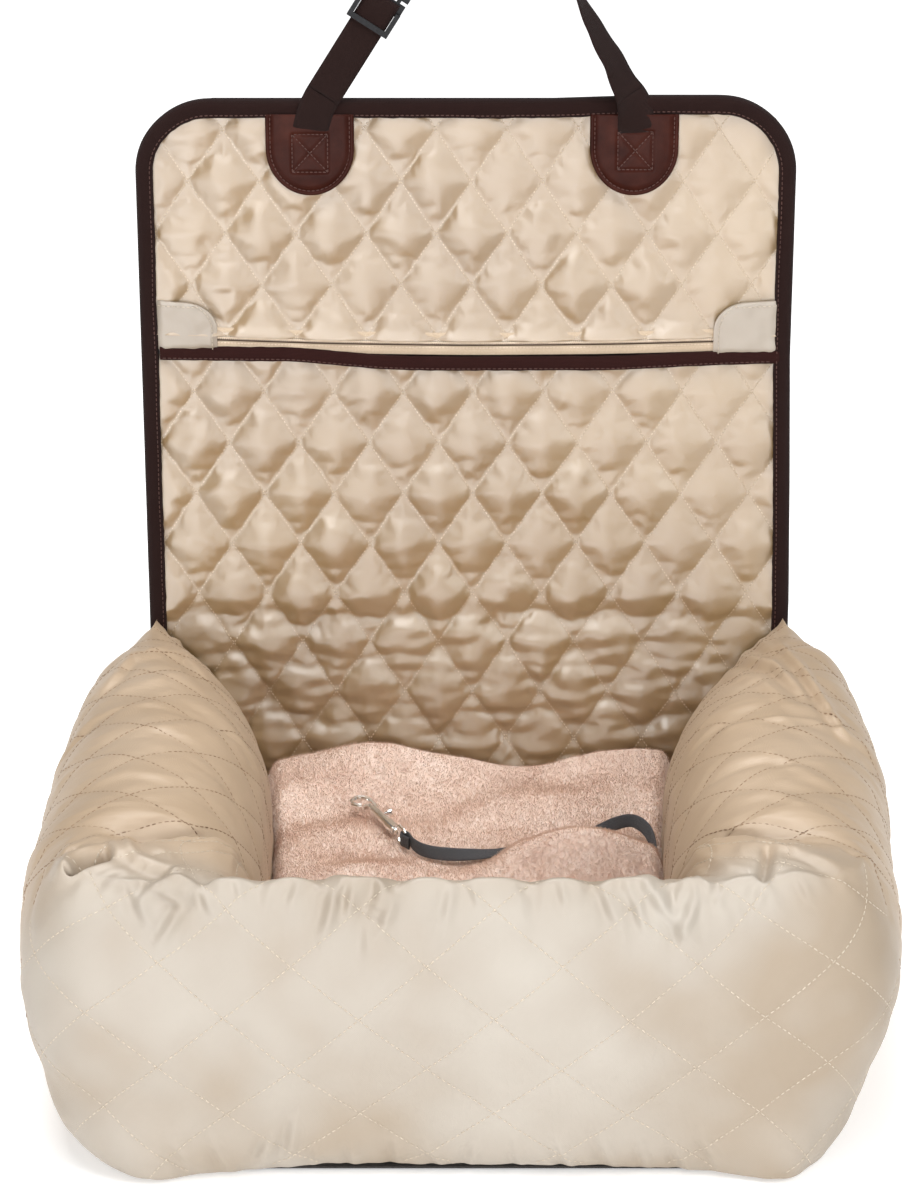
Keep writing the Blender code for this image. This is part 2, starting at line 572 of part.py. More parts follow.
# three-bar adjuster on the straight stretch
ADJ_D = (Vector(TETHER[11]) - Vector(TETHER[10])).normalized()
ADJ_O = Vector(TETHER[10]).lerp(Vector(TETHER[11]), 0.50)
ADJ = empty("adjuster_frame", axes(ADJ_D, ADJ_D.cross(Vector((0, 0, -1))), ADJ_O))
adj = box("tether_adjuster", (-7.6, -8.0, -2.7), (7.6, -5.6, 2.7), PLASTIC, ADJ)
for nm, lo, hi in (("rail", (-7.6, 5.6, -2.7), (7.6, 8.0, 2.7)), ("end_a", (-7.6, -7, 1.2), (-5.0, 7, 2.7)),
                   ("end_b", (5.0, -7, 1.2), (7.6, 7, 2.7)), ("middle", (-1.5, -7, -2.7), (1.5, 7, -1.2))):
    boolean(adj, box("adjuster_" + nm, lo, hi, PLASTIC, ADJ, helper=True), "UNION")

# bolt snap: a runs from the swivel to the tip, b across it, c up
HOOK = empty("hook_frame", axes(HOOK_D, Vector((0, 0, 1)).cross(HOOK_D) * -1, HOOK_O))
SZ = HOOK.matrix_basis.to_3x3().col[2].z   # +1 if local z is up
eye_path = [(-2.2, 0, -4.6), (-4.4, 0, -7.0), (-11.6, 0, -7.0), (-13.4, 0, -5.2), (-13.4, 0, 5.2), (-11.6, 0, 7.0), (-4.4, 0, 7.0),
            (-2.2, 0, 4.6)]
eye = cylinder("snap_swivel_eye", (-3.4, 0, 0), (10.2, 0, 0), 1.9, STEEL, HOOK)
boolean(eye, cylinder("eye_head", (9.8, 0, 0), (11.9, 0, 0), 2.8, STEEL, HOOK, helper=True), "UNION")
boolean(eye, tube("eye_ring", eye_path, 1.3, STEEL, HOOK, res=1, cyclic=True, helper=True), "UNION")

body = cylinder("snap_hook_body", (2.8, 0, 0), (14.0, 0, 0), 4.4, STEEL, HOOK, seg=24)
boolean(body, cylinder("hook_shank", (13.0, 0, 0), (39.0, 0, 0), 3.6, STEEL, HOOK, seg=24, helper=True), "UNION")
curl = [(36, 2.1, 0), (42, 3.3, 0), (50, 4.4, 0), (56.5, 4.7, 0), (61.5, 2.7, 0), (64.2, -1.2, 0), (63.6, -6, 0), (60.2, -9.4, 0),
        (55.6, -10.2, 0), (52.0, -8.2, 0), (50.8, -5.4, 0)]
curl = [tuple(p) for p in smooth_path(curl, 2.6)]
boolean(body, tube("hook_curl", curl, 1.9, STEEL, HOOK, res=2, helper=True), "UNION")
boolean(body, cylinder("barrel_bore", (-5, 0, 0), (9.6, 0, 0), 2.2, STEEL, HOOK, seg=24, helper=True))
boolean(body, cylinder("barrel_room", (9.4, 0, 0), (12.4, 0, 0), 3.2, STEEL, HOOK, seg=24, helper=True))
boolean(body, cylinder("bolt_bore", (16.0, 0, 0), (48.0, 0, 0), 2.1, STEEL, HOOK, seg=24, helper=True))
boolean(body, box("thumb_slot", (21.6, 0.0, -1.35), (34.0, 9.0, 1.35), STEEL, HOOK, helper=True))

bolt = cylinder("snap_bolt", (26.0, 0, 0), (48.2, 0, 0), 1.6, STEEL, HOOK, seg=16)
boolean(bolt, cylinder("bolt_stem", (31.0, 0, 0), (31.0, 8.6, 0), 1.0, STEEL, HOOK, seg=12, helper=True), "UNION")
boolean(bolt, cylinder("bolt_knob", (31.0, 7.2, 0), (31.0, 9.8, 0), 2.2, STEEL, HOOK, seg=16, helper=True, r2=3.0), "UNION")
boolean(bolt, box("bolt_gate", (46.0, -5.4, -1.5), (48.6, 0.9, 1.5), STEEL, HOOK, helper=True), "UNION")
turns, per = 6, 10
tube("snap_spring", [(16.8 + 8.4 * k / (turns * per), 1.35 * math.cos(2 * math.pi * k / per), 1.35 * math.sin(2 * math.pi * k / per))
                     for k in range(turns * per + 1)], 0.28, STEEL, HOOK, res=0)

for o in PARTS.objects:
    if o.type == "MESH":
        o.data.set_sharp_from_angle(angle=math.radians(35))
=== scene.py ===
"""The looks of the dog car seat: quilted satin, grosgrain, leather, plush, webbing, a zip and a bolt snap."""

import math
import random

import bmesh
import bpy
import numpy as np
from mathutils import Matrix, Vector, noise


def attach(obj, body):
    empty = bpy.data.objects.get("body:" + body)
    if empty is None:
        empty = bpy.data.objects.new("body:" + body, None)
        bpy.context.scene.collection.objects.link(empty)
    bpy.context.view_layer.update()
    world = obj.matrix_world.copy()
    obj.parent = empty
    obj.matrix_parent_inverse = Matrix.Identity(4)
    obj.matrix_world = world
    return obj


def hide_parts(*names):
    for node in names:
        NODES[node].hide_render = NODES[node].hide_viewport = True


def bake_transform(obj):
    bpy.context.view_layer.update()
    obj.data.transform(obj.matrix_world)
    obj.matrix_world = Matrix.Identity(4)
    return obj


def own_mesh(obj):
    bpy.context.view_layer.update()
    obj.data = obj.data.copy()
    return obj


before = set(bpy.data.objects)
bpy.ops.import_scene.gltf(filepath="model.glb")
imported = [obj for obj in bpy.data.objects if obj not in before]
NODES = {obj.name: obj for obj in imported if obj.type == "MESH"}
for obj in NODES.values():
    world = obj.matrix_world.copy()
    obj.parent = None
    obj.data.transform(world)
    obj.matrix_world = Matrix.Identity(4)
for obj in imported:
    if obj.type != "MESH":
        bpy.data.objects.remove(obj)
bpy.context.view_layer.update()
SCENE = bpy.context.scene

# ---------------------------------------------------------------- camera
cam = bpy.data.cameras.new("camera")
cam.lens = 96.065
cam.sensor_width = 36.0
cam.clip_end = 50.0
cam_ob = bpy.data.objects.new("camera", cam)
cam_ob.location = (-0.01066, -2.07873, 1.23772)
cam_ob.rotation_euler = (math.radians(66.0), 0.0, 0.0)
SCENE.collection.objects.link(cam_ob)
SCENE.camera = cam_ob

# ---------------------------------------------------------------- the panel's frame, millimetres
RECLINE = math.radians(5.0)
PANEL_Y0 = 242.05
CR, SR = math.cos(RECLINE), math.sin(RECLINE)


def panel_pt(x, n, s):
    """Across, towards the rear and up along the panel, to metres in the row's frame."""
    return Vector((x, PANEL_Y0 + n * CR + s * SR, -n * SR + s * CR)) * 0.001


def panel_np(a):
    x, n, s = a[:, 0], a[:, 1], a[:, 2]
    return np.stack([x, PANEL_Y0 + n * CR + s * SR, -n * SR + s * CR], 1) * 0.001


def nz(x, y, z=0.0, scale=1.0):
    return noise.noise(Vector((x * scale, y * scale, z)))


# ---------------------------------------------------------------- materials
def nodes_of(mat):
    mat.use_nodes = True
    nt = mat.node_tree
    return nt, nt.nodes, nt.links, nt.nodes["Principled BSDF"]


def ramp(ns, ls, fac, stops):
    r = ns.new("ShaderNodeValToRGB")
    els = r.color_ramp.elements
    while len(els) < len(stops):
        els.new(0.5)
    for e, (p, c) in zip(els, stops):
        e.position = p
        e.color = (*c, 1)
    ls.new(fac, r.inputs["Fac"])
    return r.outputs["Color"]


def noise_tex(ns, ls, vec, scale, detail=3.0, rough=0.55):
    t = ns.new("ShaderNodeTexNoise")
    t.inputs["Scale"].default_value = scale
    t.inputs["Detail"].default_value = detail
    t.inputs["Roughness"].default_value = rough
    ls.new(vec, t.inputs["Vector"])
    return t.outputs["Fac"]


def wave_tex(ns, ls, vec, scale, axis="X", distortion=0.0):
    t = ns.new("ShaderNodeTexWave")
    t.wave_type = "BANDS"
    t.bands_direction = axis
    t.inputs["Scale"].default_value = scale
    t.inputs["Distortion"].default_value = distortion
    ls.new(vec, t.inputs["Vector"])
    return t.outputs["Fac"]


def math_node(ns, ls, op, a, b):
    m = ns.new("ShaderNodeMath")
    m.operation = op
    for i, v in enumerate((a, b)):
        if isinstance(v, (int, float)):
            m.inputs[i].default_value = v
        else:
            ls.new(v, m.inputs[i])
    return m.outputs[0]


def bump(ns, ls, bs, height, dist, strength=1.0, normal=None):
    b = ns.new("ShaderNodeBump")
    b.inputs["Distance"].default_value = dist
    b.inputs["Strength"].default_value = strength
    ls.new(height, b.inputs["Height"])
    if normal is not None:
        ls.new(normal, b.inputs["Normal"])
    if bs is not None:
        ls.new(b.outputs["Normal"], bs.inputs["Normal"])
    return b.outputs["Normal"]


def satin(name, tones, rough=0.30, ior=1.6, sheen=0.06, front=None, level=0.75):
    """Woven satin: a coloured body under a broad white shine, a fine twill and a slight change of tone.

    front gives lighter tones painted on the object's front, a painted sheen where the light falls on it; they fade in
    along -Y."""
    m = bpy.data.materials.new(name)
    nt, ns, ls, bs = nodes_of(m)
    co = ns.new("ShaderNodeTexCoord").outputs["Object"]
    big = noise_tex(ns, ls, co, 9.0, 2.0)
    col = ramp(ns, ls, big, list(zip((0.25, 0.5, 0.78), tones)))
    if front:
        sep = ns.new("ShaderNodeSeparateXYZ")
        ls.new(co, sep.inputs[0])
        # painted shade: the front's tones turn darker and tanner low down on its right, where less light falls
        painted_shade_right = ns.new("ShaderNodeMapRange")
        painted_shade_right.interpolation_type = "SMOOTHSTEP"
        painted_shade_right.inputs["From Min"].default_value = 0.0
        painted_shade_right.inputs["From Max"].default_value = 0.13
        painted_shade_right.inputs["To Max"].default_value = 0.22
        ls.new(math_node(ns, ls, "SUBTRACT", sep.outputs["X"], math_node(ns, ls, "MULTIPLY", sep.outputs["Z"], 0.8)), painted_shade_right.inputs["Value"])
        tone = math_node(ns, ls, "SUBTRACT", big, painted_shade_right.outputs[0])
        painted_sheen_col = ramp(ns, ls, tone, list(zip((0.25, 0.5, 0.78), front)))
        # painted sheen: the lighter front tones take over towards -Y
        fade = ns.new("ShaderNodeMapRange")
        fade.interpolation_type = "SMOOTHSTEP"
        fade.inputs["From Min"].default_value = -0.165
        fade.inputs["From Max"].default_value = -0.25
        ls.new(sep.outputs["Y"], fade.inputs["Value"])
        mix = ns.new("ShaderNodeMix")
        mix.data_type = "RGBA"
        ls.new(fade.outputs[0], mix.inputs[0])
        ls.new(col, mix.inputs[6])
        ls.new(painted_sheen_col, mix.inputs[7])
        col = mix.outputs[2]
    ls.new(col, bs.inputs["Base Color"])
    fine = noise_tex(ns, ls, co, 60.0, 4.0)
    mr = ns.new("ShaderNodeMapRange")
    mr.inputs["To Min"].default_value = rough - 0.05
    mr.inputs["To Max"].default_value = rough + 0.07
    ls.new(fine, mr.inputs["Value"])
    ls.new(mr.outputs[0], bs.inputs["Roughness"])
    weave = math_node(ns, ls, "ADD", wave_tex(ns, ls, co, 420.0, "DIAGONAL", 0.5), wave_tex(ns, ls, co, 900.0, "Z"))
    n1 = bump(ns, ls, None, weave, 0.00006, 0.6)
    if front:
        # small creases that run round the sides
        mp = ns.new("ShaderNodeMapping")
        mp.inputs["Scale"].default_value = (0.22, 1.0, 0.45)
        ls.new(co, mp.inputs["Vector"])
        side = math_node(ns, ls, "SUBTRACT", 1.0, fade.outputs[0])
        n1 = bump(ns, ls, None, math_node(ns, ls, "MULTIPLY", noise_tex(ns, ls, mp.outputs[0], 95.0, 3.0, 0.5), side), 0.0022, 0.32, n1)
    bump(ns, ls, bs, noise_tex(ns, ls, co, 60.0, 4.0, 0.55), 0.0005, 0.25, n1)
    bs.inputs["IOR"].default_value = ior
    bs.inputs["Specular IOR Level"].default_value = level
    bs.inputs["Sheen Weight"].default_value = sheen
    bs.inputs["Sheen Roughness"].default_value = 0.45
    bs.inputs["Sheen Tint"].default_value = (1.0, 0.93, 0.82, 1)
    return m


def webbing(name, dark, light, ribs, rough=0.62, axis="X"):
    """Ribbed webbing. Its ribs run by UV: u across, v along, in millimetres."""
    m = bpy.data.materials.new(name)
    nt, ns, ls, bs = nodes_of(m)
    uv = ns.new("ShaderNodeUVMap").outputs["UV"]
    co = ns.new("ShaderNodeTexCoord").outputs["Object"]
    w = wave_tex(ns, ls, uv, ribs, "Y")
    w2 = wave_tex(ns, ls, uv, ribs * 1.35, "X")
    h = math_node(ns, ls, "MULTIPLY", w, math_node(ns, ls, "ADD", w2, 0.6))
    ls.new(ramp(ns, ls, h, [(0.1, dark), (0.9, light)]), bs.inputs["Base Color"])
    bs.inputs["Roughness"].default_value = rough
    bs.inputs["Sheen Weight"].default_value = 0.03
    bs.inputs["Sheen Roughness"].default_value = 0.5
    bs.inputs["Specular IOR Level"].default_value = 0.08
    n1 = bump(ns, ls, None, h, 0.00035, 0.8)
    bump(ns, ls, bs, noise_tex(ns, ls, co, 700.0, 2.0), 0.0002, 0.5, n1)
    return m


def plain(name, dark, light, scale, rough, metal=0.0, bump_dist=0.0002, spec=0.5, coat=0.0, detail=4.0):
    m = bpy.data.materials.new(name)
    nt, ns, ls, bs = nodes_of(m)
    co = ns.new("ShaderNodeTexCoord").outputs["Object"]
    f = noise_tex(ns, ls, co, scale, detail)
    ls.new(ramp(ns, ls, f, [(0.3, dark), (0.7, light)]), bs.inputs["Base Color"])
    mr = ns.new("ShaderNodeMapRange")
    mr.inputs["To Min"].default_value = max(0.02, rough - 0.05)
    mr.inputs["To Max"].default_value = rough + 0.07
    ls.new(noise_tex(ns, ls, co, scale * 2.3, 3.0), mr.inputs["Value"])
    ls.new(mr.outputs[0], bs.inputs["Roughness"])
    bump(ns, ls, bs, f, bump_dist, 0.5)
    bs.inputs["Metallic"].default_value = metal
    bs.inputs["Specular IOR Level"].default_value = spec
    bs.inputs["Coat Weight"].default_value = coat
    bs.inputs["Coat Roughness"].default_value = 0.18
    return m


def leather(name):
    m = bpy.data.materials.new(name)
    nt, ns, ls, bs = nodes_of(m)
    co = ns.new("ShaderNodeTexCoord").outputs["Object"]
    vor = ns.new("ShaderNodeTexVoronoi")
    vor.feature = "DISTANCE_TO_EDGE"
    vor.inputs["Scale"].default_value = 900.0
    ls.new(co, vor.inputs["Vector"])
    tone = noise_tex(ns, ls, co, 45.0, 4.0)
    ls.new(ramp(ns, ls, tone, [(0.25, (0.020, 0.0040, 0.0024)), (0.55, (0.035, 0.0082, 0.0050)), (0.8, (0.056, 0.0150, 0.0095))]),
           bs.inputs["Base Color"])
    n1 = bump(ns, ls, None, vor.outputs["Distance"], 0.00025, 0.35)
    bump(ns, ls, bs, noise_tex(ns, ls, co, 120.0, 5.0), 0.0006, 0.35, n1)
    bs.inputs["Roughness"].default_value = 0.38
    bs.inputs["Specular IOR Level"].default_value = 0.06
    bs.inputs["Coat Weight"].default_value = 0.02
    bs.inputs["Coat Roughness"].default_value = 0.25
    return m


def plush_mat(name, dark, mid, light):
    m = bpy.data.materials.new(name)
    nt, ns, ls, bs = nodes_of(m)
    co = ns.new("ShaderNodeTexCoord").outputs["Object"]
    a = noise_tex(ns, ls, co, 26.0, 3.0, 0.5)
    fine = noise_tex(ns, ls, co, 260.0, 3.0, 0.6)
    both = math_node(ns, ls, "ADD", math_node(ns, ls, "MULTIPLY", a, 0.6), math_node(ns, ls, "MULTIPLY", fine, 0.4))
    ls.new(ramp(ns, ls, both, [(0.25, dark), (0.5, mid), (0.75, light)]), bs.inputs["Base Color"])
    bs.inputs["Roughness"].default_value = 0.95
    bs.inputs["Subsurface Weight"].default_value = 0.15
    bs.inputs["Subsurface Radius"].default_value = (0.006, 0.004, 0.003)
    bs.inputs["Subsurface Scale"].default_value = 1.0
    bs.inputs["Specular IOR Level"].default_value = 0.15
    bs.inputs["Sheen Weight"].default_value = 0.9
    bs.inputs["Sheen Roughness"].default_value = 0.45
    bs.inputs["Sheen Tint"].default_value = (1.0, 0.86, 0.78, 1)
    bump(ns, ls, bs, noise_tex(ns, ls, co, 420.0, 4.0, 0.7), 0.0005, 0.2)
    return m


TAN = [(0.244, 0.147, 0.059), (0.274, 0.169, 0.069), (0.308, 0.198, 0.086)]
SIDE_TONES = [(0.380, 0.272, 0.174), (0.430, 0.317, 0.213), (0.480, 0.364, 0.256)]
# the front tones below are lighter than the cloth's own colour: a painted sheen of the light that falls on the
# bolster's front
PAINTED_FRONT_SHEEN = [(0.288, 0.223, 0.156), (0.346, 0.299, 0.246), (0.402, 0.362, 0.310)]
M_SATIN = satin("satin_quilt", TAN, rough=0.30, ior=2.0, level=0.9)
M_SATIN_PAINTED_FRONT = satin("satin_bolster_painted_sheen", SIDE_TONES, rough=0.48, front=PAINTED_FRONT_SHEEN, level=0.6)
M_LIGHT = satin("satin_light", [(0.26, 0.205, 0.150), (0.29, 0.235, 0.178), (0.32, 0.265, 0.207)], rough=0.36, ior=1.8)
M_THREAD = plain("thread_champagne", (0.40, 0.30, 0.20), (0.66, 0.55, 0.42), 600.0, 0.5)
M_THREAD_F = plain("thread_cream", (0.40, 0.33, 0.25), (0.60, 0.52, 0.42), 500.0, 0.5)
# the same thread as thread_cream, made darker: painted shade of the stitches on the bolsters' sides
M_THREAD_PAINTED_SHADE = plain("thread_painted_shade", (0.18, 0.11, 0.062), (0.34, 0.23, 0.145), 500.0, 0.5)
M_THREAD_B = plain("thread_brown", (0.045, 0.016, 0.012), (0.10, 0.04, 0.03), 600.0, 0.5)
M_BIND = webbing("brown_binding", (0.009, 0.0035, 0.003), (0.030, 0.011, 0.009), 0.55)
M_BAND = webbing("pocket_band_grosgrain", (0.014, 0.0035, 0.003), (0.045, 0.012, 0.010), 0.55)
M_STRAP = webbing("strap_webbing", (0.008, 0.0035, 0.003), (0.028, 0.012, 0.010), 0.42)
M_LEATHER = leather("brown_leather")
M_PLUSH = plush_mat("pink_plush", (0.69, 0.49, 0.395), (0.80, 0.635, 0.540), (0.90, 0.765, 0.685))
M_DARK = plain("nonslip_fabric", (0.016, 0.014, 0.013), (0.035, 0.030, 0.027), 500.0, 0.85, bump_dist=0.0005)
M_LINER = plain("rear_lining", (0.024, 0.014, 0.012), (0.044, 0.028, 0.023), 900.0, 0.8, bump_dist=0.0004)
M_FOAM = plain("foam", (0.70, 0.66, 0.55), (0.84, 0.80, 0.70), 700.0, 0.9, bump_dist=0.0006)
M_FIBRE = plain("fibre_filling", (0.80, 0.80, 0.78), (0.92, 0.92, 0.90), 150.0, 0.95, bump_dist=0.002)
M_BOARD = plain("stiffener_board", (0.55, 0.54, 0.51), (0.72, 0.71, 0.68), 300.0, 0.6)
M_ZIPT = plain("zip_tape", (0.43, 0.325, 0.225), (0.51, 0.40, 0.29), 900.0, 0.7, bump_dist=0.0003)
M_ZIPC = plain("zip_coil", (0.66, 0.53, 0.40), (0.80, 0.67, 0.54), 500.0, 0.42, spec=0.5)
# a dark strip that stands for the shade under the zip's coil: painted shade
M_ZIP_PAINTED_SHADE = plain("zip_painted_shade", (0.05, 0.028, 0.016), (0.09, 0.055, 0.035), 700.0, 0.8)
M_PLASTIC = plain("black_plastic", (0.007, 0.007, 0.008), (0.014, 0.014, 0.016), 400.0, 0.42, bump_dist=0.0001, spec=0.14)
M_GREY = webbing("grey_webbing", (0.020, 0.020, 0.022), (0.20, 0.20, 0.21), 0.7, rough=0.5)
M_STEEL = plain("polished_steel", (0.80, 0.79, 0.77), (0.93, 0.92, 0.90), 60.0, 0.12, metal=1.0, bump_dist=0.00005)


# ---------------------------------------------------------------- mesh helpers
def new_object(name, me, body=None, replaces=()):
    ob = bpy.data.objects.new(name, me)
    SCENE.collection.objects.link(ob)
    if body:
        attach(ob, body)
    if replaces:
        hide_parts(*replaces)
    return ob


class Builder:
    """Collects vertices, faces, material numbers and UVs of one mesh."""

    def __init__(self):
        self.v, self.f, self.m, self.uv = [], [], [], []

    def add(self, verts, faces, mat=0, uvs=None):
        o = len(self.v)
        self.v += [tuple(p) for p in verts]
        for k, f in enumerate(faces):
            self.f.append(tuple(i + o for i in f))
            self.m.append(mat)
            self.uv.append(uvs[k] if uvs else [(0.0, 0.0)] * len(f))

    def mesh(self, name, mats, smooth=True, uv=False):
        me = bpy.data.meshes.new(name)
        me.from_pydata(self.v, [], self.f)
        for m in mats:
            me.materials.append(m)
        me.polygons.foreach_set("material_index", self.m)
        if uv:
            layer = me.uv_layers.new(name="UVMap")
            flat = [c for f in self.uv for q in f for c in q]
            layer.data.foreach_set("uv", flat)
        if smooth:
            me.shade_smooth()
        me.update()
        return me


def capsule(b, p, q, up, r, mat):
    """One stitch: a short rounded bar from p to q, in metres."""
    p, q, up = Vector(p), Vector(q), Vector(up)
    t = q - p
    ln = t.length
    if ln < 1e-7:
        return
    t /= ln
    s = t.cross(up)
    if s.length < 1e-6:
        return
    s.normalize()
    u = s.cross(t)
    rings = []
    for f, k in ((0.0, 0.35), (0.22, 1.0), (0.78, 1.0), (1.0, 0.35)):
        c = p + t * (ln * f)
        rings.append([c + s * r * k, c + u * r * k * 0.8, c - s * r * k, c - u * r * k * 0.8])
    vs = [x for rg in rings for x in rg]
    fs = [(i * 4 + j, i * 4 + (j + 1) % 4, i * 4 + 4 + (j + 1) % 4, i * 4 + 4 + j) for i in range(3) for j in range(4)]
    fs += [(3, 2, 1, 0), (12, 13, 14, 15)]
    b.add(vs, fs, mat)


def stitch_line(b, pts, ups, length, gap, r, mat, lift=0.0):
    """Stitches along a polyline in metres; lengths in metres."""
    acc, on, target = 0.0, True, length
    start, sup = Vector(pts[0]), Vector(ups[0])
    for (p, q, up) in zip(pts, pts[1:], ups):
        p, q, up = Vector(p), Vector(q), Vector(up)
        seg = (q - p).length
        pos = 0.0
        while seg - pos > target - acc:
            pos += target - acc
            here = p.lerp(q, pos / seg)
            if on:
                capsule(b, start + sup * lift, here + up * lift, up, r, mat)
            start, sup = here, up
            on = not on
            acc, target = 0.0, (length if on else gap)
        acc += seg - pos


def ribbon(b, path, across, width, thick, mat=0, bulge=0.15, segs=6, scale=0.001, phase=0.0):
    """Flat webbing with soft edges along a path. UV u runs across and v along, in millimetres."""
    n = len(path)
    P = [Vector(p) for p in path]
    prof = []
    for k in range(segs + 1):
        f = -1 + 2 * k / segs
        prof.append((f * width / 2, thick / 2 * (1 - 0.55 * abs(f) ** 6) + bulge * (1 - f * f)))
    for k in range(segs + 1):
        f = 1 - 2 * k / segs
        prof.append((f * width / 2, -thick / 2 * (1 - 0.55 * abs(f) ** 6) + bulge * (1 - f * f)))
    m = len(prof)
    verts, dist = [], [phase]
    for i in range(n):
        t = (P[min(i + 1, n - 1)] - P[max(i - 1, 0)]).normalized()
        w = Vector(across[i])
        w = (w - t * w.dot(t)).normalized()
        nn = w.cross(t)
        if i:
            dist.append(dist[-1] + (P[i] - P[i - 1]).length)
        for x, y in prof:
            verts.append((P[i] + w * x + nn * y) * scale)
    faces, uvs = [], []
    for i in range(n - 1):
        for j in range(m):
            j2 = (j + 1) % m
            faces.append((i * m + j, (i + 1) * m + j, (i + 1) * m + j2, i * m + j2))
            u0, u1 = prof[j][0], prof[j2][0]
            uvs.append([(u0, dist[i]), (u0, dist[i + 1]), (u1, dist[i + 1]), (u1, dist[i])])
    faces.append(tuple(range(m)))
    uvs.append([(p[0], 0) for p in prof])
    faces.append(tuple((n - 1) * m + j for j in range(m))[::-1])
    uvs.append([(p[0], 0) for p in prof[::-1]])
    b.add(verts, faces, mat, uvs)


def smooth_path(points, step):
    """Points about step apart on a Catmull-Rom curve through the given points."""
    pts = [Vector(p) for p in points]
    pts = [pts[0] * 2 - pts[1]] + pts + [pts[-1] * 2 - pts[-2]]
    fine = []
    for i in range(1, len(pts) - 2):
        p0, p1, p2, p3 = pts[i - 1:i + 3]
        for k in range(24):
            t = k / 24
            fine.append(0.5 * ((2 * p1) + (p2 - p0) * t + (2 * p0 - 5 * p1 + 4 * p2 - p3) * t * t
                               + (3 * p1 - p0 - 3 * p2 + p3) * t ** 3))
    fine.append(pts[-2])
    length = [0.0]
    for a, b in zip(fine, fine[1:]):
        length.append(length[-1] + (b - a).length)
    count = max(2, round(length[-1] / step))
    out, j = [], 0
    for k in range(count + 1):
        want = length[-1] * k / count
        while j < len(fine) - 2 and length[j + 1] < want:
            j += 1
        span = length[j + 1] - length[j]
        out.append(fine[j].lerp(fine[j + 1], (want - length[j]) / span if span else 0))
    return out


SIM = 10.0      # soft pieces are simulated enlarged, where the solver's defaults suit them


def cloth(verts, faces, pin, frames=16, pressure=12.0, shrink=-0.08, bend=0.05, tension=15.0, mass=0.1, cap=None, quality=5,
          loose=None, loose_shrink=0.0):
    """Inflates a sheet whose pinned points stay put. verts is an array in metres; pin gives a weight per vertex."""
    me = bpy.data.meshes.new("sim")
    me.from_pydata([tuple(v) for v in verts * SIM], [], faces)
    ob = bpy.data.objects.new("sim", me)
    SCENE.collection.objects.link(ob)
    vg = ob.vertex_groups.new(name="pin")
    levels = {}
    for i, w in enumerate(pin):
        if w > 0.001:
            levels.setdefault(round(float(w), 2), []).append(i)
    for w, ids in levels.items():
        vg.add(ids, w, "REPLACE")
    md = ob.modifiers.new("cloth", "CLOTH")
    st = md.settings
    st.quality = quality
    st.mass = mass
    st.tension_stiffness = st.compression_stiffness = tension
    st.shear_stiffness = 5
    st.bending_stiffness = bend
    st.tension_damping = st.compression_damping = 5
    st.shear_damping = 5
    st.bending_damping = 0.5
    st.vertex_group_mass = "pin"
    st.pin_stiffness = 1
    st.use_pressure = True
    st.uniform_pressure_force = pressure
    st.shrink_min = shrink
    if loose is not None:
        lg = ob.vertex_groups.new(name="loose")
        levels = {}
        for i, w in enumerate(loose):
            levels.setdefault(round(float(w), 1), []).append(i)
        for w, ids in levels.items():
            lg.add(ids, w, "REPLACE")
        st.vertex_group_shrink = "loose"
        st.shrink_max = loose_shrink
    st.effector_weights.gravity = 0
    md.collision_settings.use_collision = False
    md.collision_settings.use_self_collision = False
    md.point_cache.frame_start = 1
    md.point_cache.frame_end = frames
    for f in range(1, frames + 1):
        SCENE.frame_set(f)
    ev = ob.evaluated_get(bpy.context.evaluated_depsgraph_get())
    out = np.empty(len(verts) * 3)
    ev.data.vertices.foreach_get("co", out)
    out = out.reshape(-1, 3) / SIM
    bpy.data.objects.remove(ob, do_unlink=True)
    bpy.data.meshes.remove(me)
    SCENE.frame_set(1)
    if cap is not None:
        d = out - verts
        ln = np.linalg.norm(d, axis=1)
        k = np.where(ln > cap, cap / np.maximum(ln, 1e-9), 1.0)
        out = verts + d * k[:, None]
    return out


def vertex_normals(verts, faces):
    v = np.asarray(verts)
    f = np.array(faces)
    n = np.zeros_like(v)
    fn = np.cross(v[f[:, 2]] - v[f[:, 0]], v[f[:, 3]] - v[f[:, 1]])
    for k in range(4):
        np.add.at(n, f[:, k], fn)
    ln = np.linalg.norm(n, axis=1)
    return n / np.maximum(ln, 1e-12)[:, None]


# ---------------------------------------------------------------- quilted panels
K = 16


class Quilt:
    """A sheet whose mesh follows its diamond stitching, so each seam lies on mesh edges."""

    def __init__(self, hw, hh, x0, s0, region, seed):
        self.hw, self.hh, self.x0, self.s0 = hw, hh, x0, s0
        self.index, self.ab, self.xs, self.faces = {}, [], [], []
        self.seed = seed
        xa, xb, sa, sb = region
        u0, u1 = (xa - x0) / hw, (xb - x0) / hw
        v0, v1 = (sa - s0) / hh, (sb - s0) / hh
        for i in range(math.floor((u0 + v0) / 2 * K) - 1, math.ceil((u1 + v1) / 2 * K) + 1):
            for j in range(math.floor((u0 - v1) / 2 * K) - 1, math.ceil((u1 - v0) / 2 * K) + 1):
                a, b = (i + 0.5) / K, (j + 0.5) / K
                x, s = x0 + (a + b) * hw, s0 + (a - b) * hh
                if xa - 5 < x < xb + 5 and sa - 5 < s < sb + 5:
                    self.faces.append(tuple(self.vert(*q) for q in ((i, j), (i, j + 1), (i + 1, j + 1), (i + 1, j))))
        self.xs = np.array(self.xs)

    def vert(self, i, j):
        if (i, j) not in self.index:
            self.index[(i, j)] = len(self.ab)
            a, b = i / K, j / K
            self.ab.append((i, j))
            self.xs.append((self.x0 + (a + b) * self.hw, self.s0 + (a - b) * self.hh))
        return self.index[(i, j)]


